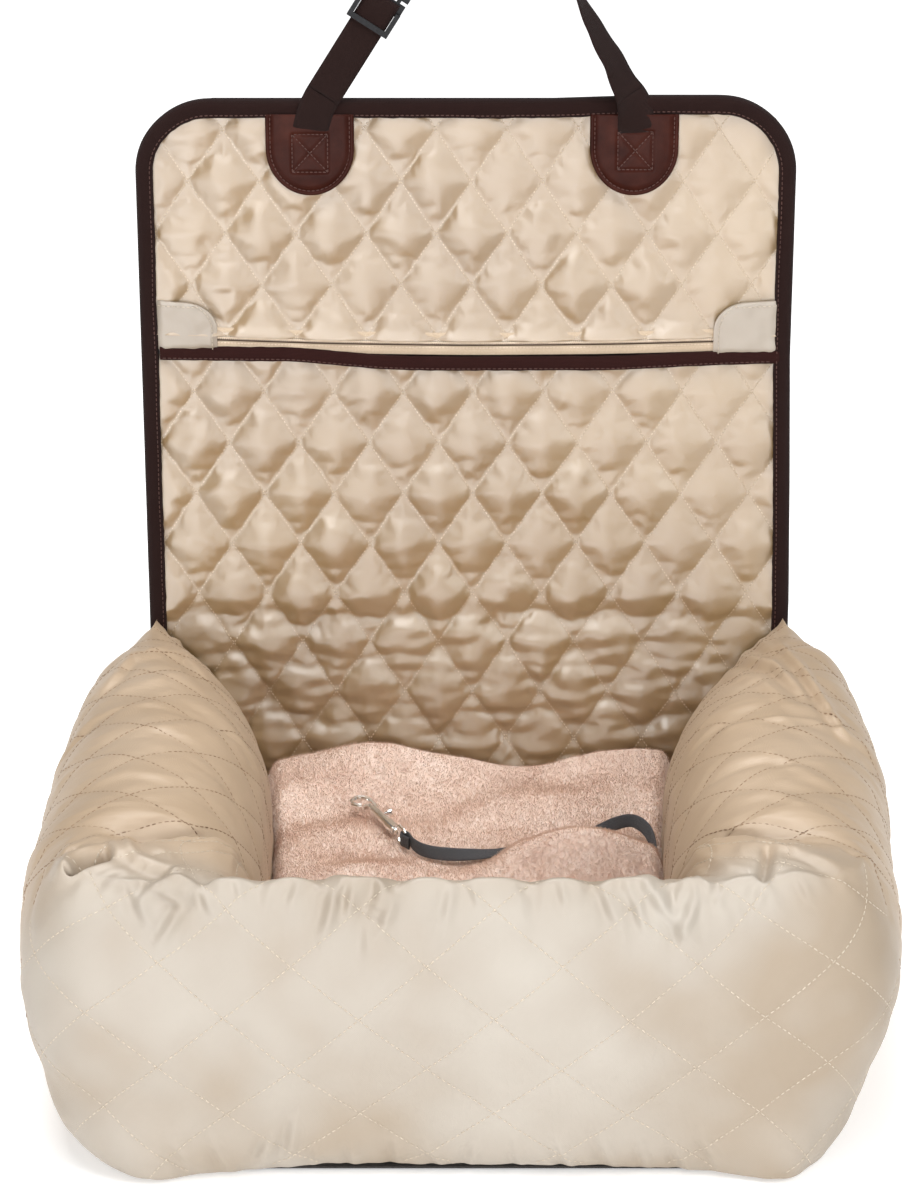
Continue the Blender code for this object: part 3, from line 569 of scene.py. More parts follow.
def quilt_piece(name, q, floor_n, clip, seed, ceiling, crumple, limit, height=5.0, wander=1.2, pressure=5.0, shrink=-0.06):
    """Makes the quilt's surface. floor_n(x, s) is where its seams lie, ceiling(x, s) how far it may stand off them."""
    n = len(q.ab)
    co = np.zeros((n, 3))
    pin = np.zeros(n)
    edge_count = {}
    for f in q.faces:
        for a, b in zip(f, f[1:] + f[:1]):
            e = (min(a, b), max(a, b))
            edge_count[e] = edge_count.get(e, 0) + 1
    rim = set(v for e, c in edge_count.items() if c == 1 for v in e)
    base = np.zeros(n)
    top = np.zeros(n)
    crisp = np.zeros(n)
    tent = np.zeros(n)
    wrinkle = np.zeros(n)
    for k, (i, j) in enumerate(q.ab):
        x, s = q.xs[k]
        fa, fb = abs(i / K - round(i / K)), abs(j / K - round(j / K))
        puff = (math.sin(math.pi * fa) * math.sin(math.pi * fb)) ** 0.7
        near = min(1.0, min(fa, fb) * K / 3.5)
        cell = (math.floor(i / K), math.floor(j / K))
        lump = 0.75 + 0.5 * nz(cell[0] * 3.7, cell[1] * 5.3, seed)
        h = puff * height * lump + near * (2.6 * nz(x, s, seed + 3, 0.04) + 1.3 * nz(x, s, seed + 9, 0.09))
        h += near * crumple(x, s)
        wx, ws = wander * nz(x, s, seed + 20, 0.02), wander * nz(x, s, seed + 30, 0.02)
        base[k] = floor_n(x, s)
        top[k] = ceiling(x, s)
        # each diamond rises straight from its upper seams to a soft crest across the middle, then falls away
        fi, fj = i / K - math.floor(i / K), j / K - math.floor(j / K)
        wave = 0.10 * nz(x, s, seed + 35, 0.06)
        over = -math.log(math.exp(-6.0 * (1 - fi)) + math.exp(-6.0 * fj)) / 6.0 + wave * near
        under = -math.log(math.exp(-9.0 * fi) + math.exp(-9.0 * (1 - fj))) / 9.0
        own = 0.04 * nz(cell[0] * 3.1, cell[1] * 2.7, seed + 37)
        over, under = over / (0.94 + own), under / (1.06 - own)
        soft = -math.log(math.exp(-22.0 * over) + math.exp(-22.0 * under)) / 22.0
        tent[k] = max(0.0, soft) / 0.35 * (0.97 + 0.9 * nz(cell[0] * 2.3, cell[1] * 4.1, seed + 36))
        xw, sw = x + 7 * nz(x, s, seed + 40, 0.03), s + 7 * nz(x, s, seed + 50, 0.03)
        area = min(1.2, max(0.12, 0.45 + 1.5 * nz(x, s, seed + 80, 0.015)))
        wrinkle[k] = near * (area * (1.5 * nz(xw, sw * 1.35, seed + 60, 0.048) + 0.3 * nz(xw, sw * 1.2, seed + 70, 0.11))
                             + 0.35 * crumple(x, s))
        crisp[k] = 0.9 + 0.5 / (1 + math.exp((s - 200) / 12))
        co[k] = (x + wx, base[k] - h, s + ws)
        if i % K == 0 or j % K == 0 or k in rim:
            pin[k] = 1.0
    world = panel_np(co)
    world = cloth(world, q.faces, pin, frames=16, pressure=pressure, shrink=shrink, bend=0.04, cap=0.012)
    # the wadding keeps the puffs low, while the creases stay
    y, z = world[:, 1] * 1000 - PANEL_Y0, world[:, 2] * 1000
    loc = np.stack([world[:, 0] * 1000, y * CR - z * SR, y * SR + z * CR], 1)
    h = base - loc[:, 1]
    E = np.array([(f[a], f[(a + 1) % 4]) for f in q.faces for a in range(4)])
    deg = np.bincount(E[:, 0], minlength=n) + np.bincount(E[:, 1], minlength=n)
    low = h.copy()
    for _ in range(22):
        acc = np.bincount(E[:, 0], low[E[:, 1]], n) + np.bincount(E[:, 1], low[E[:, 0]], n)
        low = np.where(pin > 0.5, 0.0, 0.5 * low + 0.5 * acc / deg)
    h = 5.9 * tent + 1.15 * wrinkle + 0.5 * crisp * (h - low)
    # the quilt lies flatter towards its right side
    h *= np.interp([x for x, s in q.xs], [-190, -130, -60, 60, 110, 150, 200], [1.04, 1.04, 0.92, 0.88, 0.80, 0.70, 0.64])
    h = np.where(pin > 0.5, 0.0, h)
    over = h / np.maximum(top, 0.1)
    h = np.where(h > 0, top * np.where(over < 0.7, over, 0.7 + 0.3 * np.tanh((over - 0.7) / 0.3)), 1.4 * np.tanh(h / 1.4))
    loc[:, 1] = base - h
    loc[:, 2] = [limit(x, s) for x, s in zip(loc[:, 0], loc[:, 2])]
    world = panel_np(loc)
    nrm = vertex_normals(world, q.faces)
    b = Builder()
    b.add(world, q.faces, 0)
    me = b.mesh(name, [M_SATIN, M_THREAD])
    # trim to the outline
    bm = bmesh.new()
    bm.from_mesh(me)
    for (px, ps, nx, ns_) in clip:
        co_p = panel_pt(px, 0, ps)
        no = panel_pt(nx, 0, ns_) - panel_pt(0, 0, 0)
        bmesh.ops.bisect_plane(bm, geom=bm.verts[:] + bm.edges[:] + bm.faces[:], dist=1e-6, plane_co=co_p, plane_no=no,
                               clear_outer=True)
    bmesh.ops.recalc_face_normals(bm, faces=bm.faces)
    bm.to_mesh(me)
    bm.free()
    ob = bpy.data.objects.new(name, me)
    SCENE.collection.objects.link(ob)
    md = ob.modifiers.new("fine", "SUBSURF")
    md.levels = md.render_levels = 1
    apply_all(ob)
    # stitches on every seam edge that survived the trimming
    sb = Builder()
    for (i, j), k in q.index.items():
        for di, dj, on in ((0, 1, i % K == 0), (1, 0, j % K == 0)):
            k2 = q.index.get((i + di, j + dj))
            if not on or k2 is None:
                continue
            p, r = co_keep(q, k, clip), co_keep(q, k2, clip)
            if not (p and r):
                continue
            a, c = Vector(world[k]), Vector(world[k2])
            up = (Vector(nrm[k]) + Vector(nrm[k2])).normalized()
            mid = (a + c) / 2
            d = (c - a) * 0.27
            capsule(sb, mid - d + up * 0.0003, mid + d + up * 0.0003, up, 0.0005, 1)
    return ob, sb


def co_keep(q, k, clip):
    x, s = q.xs[k]
    return all((x - px) * nx + (s - ps) * ns_ < -0.5 for px, ps, nx, ns_ in clip)


def apply_all(ob):
    dg = bpy.context.evaluated_depsgraph_get()
    me = bpy.data.meshes.new_from_object(ob.evaluated_get(dg))
    me.name = ob.name
    ob.modifiers.clear()
    old = ob.data
    ob.data = me
    bpy.data.meshes.remove(old)
    return ob


def join_builder(ob, b):
    """Adds the builder's geometry to an object's mesh."""
    me = ob.data
    bm = bmesh.new()
    bm.from_mesh(me)
    tmp = bpy.data.meshes.new("tmp")
    tmp.from_pydata(b.v, [], b.f)
    tmp.polygons.foreach_set("material_index", b.m)
    bm.from_mesh(tmp)
    bm.to_mesh(me)
    bm.free()
    bpy.data.meshes.remove(tmp)
    me.shade_smooth()


def corner_clip(cx, cs, r, sx):
    """Half planes round a top corner of radius r; sx is the corner's side."""
    return [(cx + sx * r * math.cos(a), cs + r * math.sin(a), sx * math.cos(a), math.sin(a))
            for a in (math.radians(d) for d in (15, 30, 45, 60, 75))]


def lower_floor(x, s):
    """Where the seams of the lower sheet lie: flat on the board, rumpled where the panel folds."""
    w = 1 / (1 + math.exp((s - 205) / 14))
    fold = 4.0 * math.exp(-((s - 186 - 5 * nz(x, 0, 5, 0.012)) / 9) ** 2)
    rumple = 4.0 * nz(x * 0.6, s * 1.8, 41, 0.022) + 2.5 * nz(x * 0.7, s * 2.0, 43, 0.05)
    belly = -2.0 * math.exp(-((s - 300) / 90) ** 2) * max(0.0, 1 - (x / 230) ** 2)
    return -6.4 + w * (fold + rumple - 1.5) + belly


def upper_floor(x, s):
    edge = math.exp(-(max(0.0, s - zip_mid(x) - 2.2) / 5.5) ** 2)
    return -6.6 + 0.8 * nz(x, s, 60, 0.012) * (1 - edge) - 4.9 * edge


def patch_gap(x, s):
    """Distance outside the nearer leather patch."""
    best = 99.0
    for cx in (-121.5, 124.5):
        dx = abs(x - cx)
        if s > 564:
            best = min(best, dx - 33.6)
        else:
            best = min(best, math.hypot(dx, (s - 564) * 0.94) - 33.6)
    return best


def upper_ceiling(x, s):
    d = min(239 - abs(x), 590 - s, s - 417)
    cx, cs = max(0.0, abs(x) - 194), max(0.0, s - 546)
    if cx > 0 and cs > 0:
        d = min(d, 44 - math.hypot(cx, cs))
    if abs(x) > 184 and s < 452:
        d = min(d, 3.0)
    top = 3.0 + 0.22 * max(0.0, d)
    top = min(top, max(3.6, 4.6 + 0.2 * patch_gap(x, s)))
    return min(7.6, top)


def lower_ceiling(x, s):
    d = min(239 - abs(x), 392 - s) if s > 195 else 20.0
    return min(7.6, 3.0 + 0.22 * max(0.0, d))


def lower_crumple(x, s):
    w = 1 / (1 + math.exp((s - 210) / 14))
    return w * (3.2 * nz(x * 0.5, s * 1.7, 51, 0.045) + 1.6 * nz(x * 0.6, s * 1.5, 53, 0.10))


BAND_X = [-240, -182, -150, -130, -114, -91, -68, -23, 91, 113, 136, 159, 182, 227, 240]
BAND_S = [404.0, 403.1, 403.0, 402.5, 400.4, 398.6, 396.2, 395.2, 395.6, 395.4, 397.0, 398.2, 399.4, 401.0, 401.2]


def smooth_curve(xs, ss, width=14.0):
    """A smooth function of x through a table."""
    grid = np.arange(-260.0, 261.0, 4.0)
    val = np.interp(grid, xs, ss)
    out = [float(np.sum(val * np.exp(-((grid - g) / width) ** 2)) / np.sum(np.exp(-((grid - g) / width) ** 2))) for g in grid]
    return lambda x: float(np.interp(x, grid, out))


band_mid = smooth_curve(BAND_X, BAND_S)
zip_mid = smooth_curve([-230, -110, 0, 110, 230], [416.6, 412.4, 410.8, 411.8, 415.2], 30.0)


lower = Quilt(27.2, 41.4, -24.8, -0.4, (-243, 243, 34, 403), 1)
side_trim = [(-243, 0, -1, 0), (243, 0, 1, 0)]
lower_ob, lower_st = quilt_piece("lower_quilt_face", lower, lower_floor, side_trim + [(0, 36, 0, -1), (0, 402, 0, 1)], 1,
                                 lower_ceiling, lower_crumple, lambda x, s: min(s, band_mid(x) + 3.5))
join_builder(lower_ob, lower_st)
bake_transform(lower_ob)
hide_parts("panel_quilt_lower", "fold_strip", "back_wall_quilt")

upper = Quilt(27.0, 40.4, 1.0, -27.9, (-243, 243, 409, 596), 2)
up_clip = side_trim + [(0, 411, 0, -1), (0, 595, 0, 1)] + corner_clip(194, 546, 49, 1) + corner_clip(-194, 546, 49, -1)
upper_ob, upper_st = quilt_piece("upper_quilt_face", upper, upper_floor, up_clip, 2, upper_ceiling, lambda x, s: 0.0,
                                 lambda x, s: max(s, zip_mid(x) + 2.2))
join_builder(upper_ob, upper_st)
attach(upper_ob, "panel")
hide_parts("panel_quilt_upper")


# ---------------------------------------------------------------- binding
def outline_path(hw, top, r, bottom, step=5.0):
    """Points and inward normals along the binding's outer edge, from the lower left round to the lower right."""
    pts = []
    n = int((top - r - bottom) / step)
    pts += [(-hw, bottom + (top - r - bottom) * k / n, 1, 0) for k in range(n)]
    m = 22
    for k in range(m):
        a = math.radians(180 - 90 * k / m)
        pts.append((-hw + r + r * math.cos(a), top - r + r * math.sin(a), -math.cos(a), -math.sin(a)))
    w = int((2 * hw - 2 * r) / step)
    pts += [(-hw + r + (2 * hw - 2 * r) * k / w, top, 0, -1) for k in range(w)]
    for k in range(m):
        a = math.radians(90 - 90 * k / m)
        pts.append((hw - r + r * math.cos(a), top - r + r * math.sin(a), -math.cos(a), -math.sin(a)))
    pts += [(hw, top - r - (top - r - bottom) * k / n, -1, 0) for k in range(n + 1)]
    return pts


BINDING = [(13.6, -9.6), (13.5, -11.6), (12.6, -12.6), (9.0, -13.3), (4.5, -13.2), (1.6, -12.2), (0.3, -9.5), (0.0, -5.0),
           (0.2, -0.5), (1.2, 2.4), (4.5, 3.7), (9.0, 3.8), (12.6, 3.4), (13.5, 2.6), (13.6, 1.0)]


def build_binding():
    b = Builder()
    path = []
    for x, s, ix, is_ in outline_path(252.0, 603.0, 57.0, 168.0):
        right = float(np.interp(s, [168, 200, 300, 400, 600], [2.5, 2.5, 0.0, -3.2, -3.4]))
        fx = (x + 252) / 504
        drop = float(np.interp(x, [-252, -190, 60, 140, 190, 252], [-3.0, -2.6, -2.6, 0.0, 0.0, -1.5])) * min(1.0, max(0.0, (s - 540) / 50))
        path.append((x - 3.0 * (1 - fx) + right * fx, s + drop, ix, is_))
    verts, dist, d = [], [], 0.0
    for i, (x, s, ix, is_) in enumerate(path):
        if i:
            d += math.hypot(x - path[i - 1][0], s - path[i - 1][1])
        dist.append(d)
        wob = 0.7 * nz(d, 0, 5, 0.02) + 0.25 * nz(d, 0, 8, 0.12)
        for k, (w, n) in enumerate(BINDING):
            wn = 0.5 * nz(d, k * 2.0, 11, 0.05)
            w2 = w + wob * (w / 13.6) + (0.5 * nz(d, k, 15, 0.15) if k in (0, 1, 2) else 0)
            verts.append(panel_pt(x + ix * w2, n + wn * (1 if n < -4 else 0.4), s + is_ * w2))
    m = len(BINDING)
    girth = [0.0]
    for (a0, b0), (a1, b1) in zip(BINDING, BINDING[1:]):
        girth.append(girth[-1] + math.hypot(a1 - a0, b1 - b0))
    faces, uvs = [], []
    for i in range(len(path) - 1):
        for j in range(m - 1):
            faces.append((i * m + j, i * m + j + 1, (i + 1) * m + j + 1, (i + 1) * m + j))
            uvs.append([(girth[j], dist[i]), (girth[j + 1], dist[i]), (girth[j + 1], dist[i + 1]), (girth[j], dist[i + 1])])
    b.add(verts, faces, 0, uvs)
    pts, ups = [], []
    out = panel_pt(0, -1, 0) - panel_pt(0, 0, 0)
    for i, (x, s, ix, is_) in enumerate(path):
        wob = 0.7 * nz(dist[i], 0, 5, 0.02)
        pts.append(panel_pt(x + ix * (11.2 + wob), -13.15, s + is_ * (11.2 + wob)))
        ups.append(out.normalized())
    stitch_line(b, pts, ups, 0.0026, 0.0012, 0.00038, 1, 0.0001)
    me = b.mesh("edge_binding_tape", [M_BIND, M_THREAD_B], uv=True)
    ob = new_object("edge_binding_tape", me)
    bm = bmesh.new()
    bm.from_mesh(me)
    bmesh.ops.recalc_face_normals(bm, faces=bm.faces)
    bm.to_mesh(me)
    bm.free()
    me.shade_smooth()
    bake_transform(ob)
    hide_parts("edge_binding")


build_binding()


# ---------------------------------------------------------------- pocket band, zip and tabs
FRONTV = (panel_pt(0, -1, 0) - panel_pt(0, 0, 0)).normalized()


def build_band():
    b = Builder()
    prof = [(5.6, -8.5), (5.7, -11.4), (5.0, -12.8), (2.0, -13.5), (-2.0, -13.5), (-4.8, -13.0), (-5.4, -12.2), (-5.5, -10.5)]
    n = 110
    verts, faces, uvs = [], [], []
    for i in range(n + 1):
        x = -240 + 480 * i / n
        c = band_mid(x) + 0.35 * nz(x, 0, 3, 0.05)
        for k, (ds, nn) in enumerate(prof):
            verts.append(panel_pt(x, nn + 0.5 * nz(x, k, 7, 0.05), c + ds + (0.4 * nz(x, k, 9, 0.12) if k < 2 or k > 5 else 0)))
    m = len(prof)
    for i in range(n):
        for j in range(m - 1):
            faces.append((i * m + j, i * m + j + 1, (i + 1) * m + j + 1, (i + 1) * m + j))
            v0, v1 = 480 * i / n, 480 * (i + 1) / n
            uvs.append([(j * 1.6, v0), (j * 1.6 + 1.6, v0), (j * 1.6 + 1.6, v1), (j * 1.6, v1)])
    b.add(verts, faces, 0, uvs)
    for off in (-3.6,):
        pts = [panel_pt(x, -13.45, band_mid(x) + off) for x in range(-238, 239, 6)]
        stitch_line(b, pts, [FRONTV] * len(pts), 0.0028, 0.0012, 0.00036, 1, 0.0001)
    me = b.mesh("pocket_band_tape", [M_BAND, M_THREAD_B], uv=True)
    new_object("pocket_band_tape", me, "panel", ("pocket_band",))


def build_zip():
    b = Builder()
    n = 96
    for lo, hi, nn in ((1.7, 8.5, -9.6), (-9.0, -2.0, -9.9)):
        verts, faces = [], []
        for i in range(n + 1):
            x = -232 + 464 * i / n
            c = zip_mid(x)
            for k in range(5):
                f = k / 4
                verts.append(panel_pt(x, nn - 0.9 * math.sin(f * math.pi) + 0.3 * nz(x, k, 2, 0.1), c + lo + (hi - lo) * f))
        for i in range(n):
            for j in range(4):
                faces.append((i * 5 + j, i * 5 + j + 1, (i + 1) * 5 + j + 1, (i + 1) * 5 + j)[::-1])
        b.add(verts, faces, 0)
    # a dark strip behind the coil, painted shade of the gap under it
    verts, faces = [], []
    for i in range(n + 1):
        x = -232 + 464 * i / n
        c = zip_mid(x)
        verts += [panel_pt(x, -9.4, c - 2.3), panel_pt(x, -9.2, c - 0.2)]
    for i in range(n):
        faces.append((2 * i, 2 * i + 1, 2 * i + 3, 2 * i + 2)[::-1])
    b.add(verts, faces, 1)
    me = b.mesh("zip_tapes", [M_ZIPT, M_ZIP_PAINTED_SHADE])
    new_object("zip_tapes", me, "panel", ("zip_tape_upper", "zip_tape_lower"))
    b = Builder()
    x = -206.0
    while x < 200.0:
        c = zip_mid(x)
        for side in (1, -1):
            xx = x + (0.62 if side > 0 else 0.0)
            p = panel_pt(xx, -10.6, c + (2.6 if side > 0 else -0.7))
            q = panel_pt(xx + 0.15, -11.3, c + (0.2 if side > 0 else 1.6))
            capsule(b, p, q, FRONTV, 0.00056, 0)
        x += 1.6
    for off in (-3.4,):
        pts = [panel_pt(xx, -10.3, zip_mid(xx) + off) for xx in range(-206, 201, 4)]
        stitch_line(b, pts, [FRONTV] * len(pts), 0.0020, 0.0006, 0.00036, 0)
    me = b.mesh("zip_teeth", [M_ZIPC])
    new_object("zip_teeth", me, "panel", ("zip_coil_upper", "zip_coil_lower"))


def build_tab(side):
    """A pale satin tab over the zip's end."""
    name = "tab_left" if side < 0 else "tab_right"
    b = Builder()
    nu, nv = 26, 24
    verts, faces = [], []
    inner = 52.5 if side > 0 else 45.5
    for i in range(nu + 1):
        u = i / nu
        for j in range(nv + 1):
            v = j / nv
            # u runs from the binding inwards, v up from the band
            top = 41.0 - 2.0 * u
            low = band_mid(side * 215.0) + 3.0
            s = low + v * (404.5 + top - low)
            w = inner
            cut = 0.0
            if v > 0.45:
                cut = 26.0 * (1 - math.sqrt(max(0.0, 1 - ((v - 0.45) / 0.56) ** 2)))
            x = (241.0 if side < 0 else 237.5) - u * (w - (0 if side < 0 else 3.5) - cut)
            edge = min(u, 1 - u) * nu
            puff = 1.2 * math.sin(math.pi * min(1, max(0, u))) ** 0.5 * math.sin(math.pi * v) ** 0.4
            rim = 0.8 * (1 if u < 0.93 and v < 0.94 else 0)
            n = -12.6 - rim - puff - 0.9 * nz(x * side, s, 70 + side, 0.09) - 0.7 * nz(x * 2 * side + s, s - x, 75 + side, 0.05)
            n = min(n, -12.7) + 1.6 * max(0.0, 1 - u / 0.1) + 1.4 * max(0.0, 1 - v / 0.1)
            verts.append(panel_pt(side * x, n, s))
    for i in range(nu):
        for j in range(nv):
            f = (i * (nv + 1) + j, i * (nv + 1) + j + 1, (i + 1) * (nv + 1) + j + 1, (i + 1) * (nv + 1) + j)
            faces.append(f if side < 0 else f[::-1])
    b.add(verts, faces, 0)
    # turned edge and its stitching
    rimpts, insidepts = [], []
    for j in range(nv + 1):
        rimpts.append(Vector(verts[nu * (nv + 1) + j]))
        insidepts.append(Vector(verts[(nu - 2) * (nv + 1) + j]))
    for i in range(nu - 1, -1, -1):
        rimpts.append(Vector(verts[i * (nv + 1) + nv]))
        insidepts.append(Vector(verts[i * (nv + 1) + nv - 2]))
    back = FRONTV * -0.003
    rv = [p for p in rimpts] + [p + back for p in rimpts]
    k = len(rimpts)
    rf = [(i, i + 1, k + i + 1, k + i) for i in range(k - 1)]
    b.add(rv, rf if side > 0 else [f[::-1] for f in rf], 0)
    stitch_line(b, insidepts[:nv] + insidepts[nv + 3:], [FRONTV] * 200, 0.0026, 0.0012, 0.00036, 1, 0.0009)
    me = b.mesh(name, [M_LIGHT, M_THREAD_F])
    ob = new_object(name, me, "panel", ("zip_tab_left" if side < 0 else "zip_tab_right",))
    return ob


build_band()
build_zip()
build_tab(-1)
build_tab(1)


# ---------------------------------------------------------------- leather patches
def build_patch(tag, cx, hw, box):
    x0, x1, s0, s1 = box
    rows = [528.0 + 62.0 * (k / 66) ** 1.25 for k in range(67)]
    cols = 84

    def half(s):
        return hw if s >= 564 else hw * math.sqrt(max(0.0, 1 - ((564 - s) / 36.2) ** 2))

    prof_d = [0.0, 0.3, 0.9, 1.6, 2.5, 3.1, 3.6, 4.1, 5.0, 7.0, 12.0, 40.0]
    prof_h = [0.0, 0.9, 1.5, 1.7, 1.5, 0.9, 0.65, 0.95, 1.7, 2.4, 2.7, 2.8]
    verts = []
    for s in rows:
        w = half(s)
        for k in range(cols + 1):
            f = -math.cos(math.pi * k / cols) if s < 564 else -1 + 2 * (0.5 - 0.5 * math.cos(math.pi * k / cols))
            x = cx + w * f
            d = (hw - abs(x - cx)) if s >= 564 else hw - math.hypot(x - cx, (564 - s) * hw / 36.2)
            d = max(0.0, d)
            h = float(np.interp(d, prof_d, prof_h)) + 0.35 * nz(x, s, 80, 0.06)
            ex = max(x0 - x, x - x1, 0.0)
            es = max(s0 - s, s - s1, 0.0)
            if ex == 0 and es == 0:
                e = min(x - x0, x1 - x, s - s0, s1 - s)
                fx, fs = (x - x0) / (x1 - x0), (s - s0) / (s1 - s0)
                h -= 0.7 * math.exp(-((fx - fs) * 13) ** 2) + 0.7 * math.exp(-((fx + fs - 1) * 13) ** 2) + 0.25
            else:
                e = math.hypot(ex, es)
            h -= 0.95 * math.exp(-(e / 1.1) ** 2)
            verts.append(panel_pt(x, -12.2 - max(0.0, h), s))
    n, m = len(rows), cols + 1
    faces = [(i * m + j, i * m + j + 1, (i + 1) * m + j + 1, (i + 1) * m + j) for i in range(n - 1) for j in range(cols)]
    rim = [j for j in range(m)] + [i * m + cols for i in range(1, n)] + [(n - 1) * m + j for j in range(cols - 1, -1, -1)] \
        + [i * m for i in range(n - 2, 0, -1)]
    back = (panel_pt(0, 1, 0) - panel_pt(0, 0, 0)) * 3.0
    o = len(verts)
    verts += [verts[k] + back for k in rim]
    c = len(rim)
    faces += [(rim[k], rim[(k + 1) % c], o + (k + 1) % c, o + k) for k in range(c)]
    b = Builder()
    b.add(verts, faces, 0)
    pts = [(cx + hw - 3.5, 588 - k) for k in range(0, 25)]
    pts += [(cx + (hw - 3.5) * math.cos(a), 564 - (36.2 - 3.5) * math.sin(a)) for a in np.linspace(0, math.pi, 60)]
    pts += [(cx - hw + 3.5, 564 + k) for k in range(1, 25)]
    line = [panel_pt(x, -12.95, s) for x, s in pts]
    stitch_line(b, line, [FRONTV] * len(line), 0.0025, 0.0010, 0.00045, 1, 0.0001)
    corners = [(x0, s0), (x1, s0), (x1, s1), (x0, s1), (x0, s0), (x1, s1)]
    for (pa_, pb_) in list(zip(corners, corners[1:])) + [((x1, s0), (x0, s1))]:
        line = [panel_pt(pa_[0] + (pb_[0] - pa_[0]) * k / 12, -14.0, pa_[1] + (pb_[1] - pa_[1]) * k / 12) for k in range(13)]
        stitch_line(b, line, [FRONTV] * 13, 0.0024, 0.0009, 0.00045, 1, 0.0)
    me = b.mesh("patch_" + tag, [M_LEATHER, M_THREAD_B])
    bm = bmesh.new()
    bm.from_mesh(me)
    bmesh.ops.remove_doubles(bm, verts=bm.verts, dist=1e-7)
    bmesh.ops.recalc_face_normals(bm, faces=bm.faces)
    bm.to_mesh(me)
    bm.free()
    me.shade_smooth()
    new_object("patch_" + tag, me, "panel", ("leather_patch_" + tag,))


build_patch("left", -121.5, 33.6, (-135.0, -108.0, 546.0, 575.0))
build_patch("right", 124.5, 33.6, (112.0, 138.5, 548.0, 577.0))

# ---------------------------------------------------------------- headrest strap
STRAP_N = -14.8
L_ANG, R_ANG = math.radians(32.5), math.radians(28.3)
HL, HR = Vector((-111.0, STRAP_N, 604.4)), Vector((121.0, STRAP_N, 604.4))
UP_L = Vector((math.sin(L_ANG), 0, math.cos(L_ANG)))
ACROSS_L = Vector((math.cos(L_ANG), 0, -math.sin(L_ANG)))
UP_R = Vector((-math.sin(R_ANG), 0, math.cos(R_ANG)))
ACROSS_R = Vector((math.cos(R_ANG), 0, math.sin(R_ANG)))
REARV = Vector((0, 1, 0))
CLIP_A = 62.0
t_l = ((HR.x - HL.x) * UP_R.z - (HR.z - HL.z) * UP_R.x) / (UP_L.x * UP_R.z - UP_L.z * UP_R.x)
ROUND = 24.0
back_off = ROUND / math.tan((L_ANG + R_ANG) / 2)
APEX = HL + UP_L * t_l
pa, pb = APEX - UP_L * back_off, APEX - UP_R * back_off
centre = pa + Vector((UP_L.z, 0, -UP_L.x)) * ROUND


def turned(u, v, t):
    t = max(0.0, min(1.0, t))
    t = t * t * (3 - 2 * t)
    return (u * math.cos(t * math.pi / 2) + v * math.sin(t * math.pi / 2)).normalized()


def strap_piece(name, path, across, body, node, mat=None, phase=0.0):
    b = Builder()
    P = [panel_pt(*p) * 1000 for p in path]
    W = [(panel_pt(*w) - panel_pt(0, 0, 0)).normalized() for w in across]
    ribbon(b, P, W, 27.0, 1.5, 0, bulge=0.2, segs=8, phase=phase)
    me = b.mesh(name, [mat or M_STRAP], uv=True)
    bm = bmesh.new()
    bm.from_mesh(me)
    bmesh.ops.recalc_face_normals(bm, faces=bm.faces)
    bm.to_mesh(me)
    bm.free()
    me.shade_smooth()
    return new_object(name, me, body, (node,))


start_a = CLIP_A + 64.5
leg = t_l - back_off
path, across = [], []
for k in range(17):
    d = start_a + (leg - start_a) * k / 16
    path.append(HL + UP_L * d)
    across.append(turned(ACROSS_L, REARV, (d - start_a - 12) / (leg - start_a - 16)))
a0 = math.atan2(pa.z - centre.z, pa.x - centre.x)
a1 = math.atan2(pb.z - centre.z, pb.x - centre.x)
for k in range(1, 20):
    a = a0 + (a1 - a0) * k / 20
    path.append(centre + Vector((math.cos(a), 0, math.sin(a))) * ROUND)
    across.append(REARV)
right_leg = (pb - HR).length
TWIST = [(0, 30), (8, 43), (29, 54), (47, 60), (68, 69), (84, 80), (104, 87), (130, 90), (400, 90)]
for k in range(61):
    d = right_leg * (1 - k / 60)
    path.append(HR + UP_R * d + ACROSS_R * (1.2 * nz(d, 0, 4, 0.05)))
    a = math.radians(float(np.interp(d, [t[0] for t in TWIST], [t[1] for t in TWIST])))
    across.append(ACROSS_R * math.cos(a) + REARV * math.sin(a))
strap_piece("strap_long_side", path, across, "strap_right", "strap_right_web")
path = [HL + UP_L * (d * 1.0) for d in np.linspace(0, CLIP_A + 26, 24)]
strap_piece("strap_short_side", path, [ACROSS_L] * 24, "strap_left", "strap_left_web")
for tag, cx, ang in (("left", -121.5, L_ANG), ("right", 124.5, -R_ANG)):
    hx = HL.x if tag == "left" else HR.x
    pts, acr = [], []
    q0, q2 = Vector((cx, 0, 574.6)), Vector((hx, 0, 604.4))
    q1 = q2 - Vector((math.sin(ang), 0, math.cos(ang))) * 13.0
    for k in range(17):
        f = k / 16
        q = q0 * (1 - f) ** 2 + q1 * 2 * f * (1 - f) + q2 * f * f
        d = ((q1 - q0) * (1 - f) + (q2 - q1) * f).normalized()
        pts.append(Vector((q.x, -12.6 - 2.2 * min(1.0, f * 6), q.z)))
        a = ang * min(1.0, f * 1.5) ** 1.3
        turn = math.radians(30) * f * f if tag == "right" else 0.0
        acr.append(Vector((math.cos(a), 0, -math.sin(a))) * math.cos(turn) + REARV * math.sin(turn))
    pts.append(pts[-1] + Vector((math.sin(ang), 0, math.cos(ang))) * 1.0)
    acr.append(acr[-1])
    strap_piece("strap_end_" + tag, pts, acr, "panel", "strap_base_" + tag, phase=-30.0)

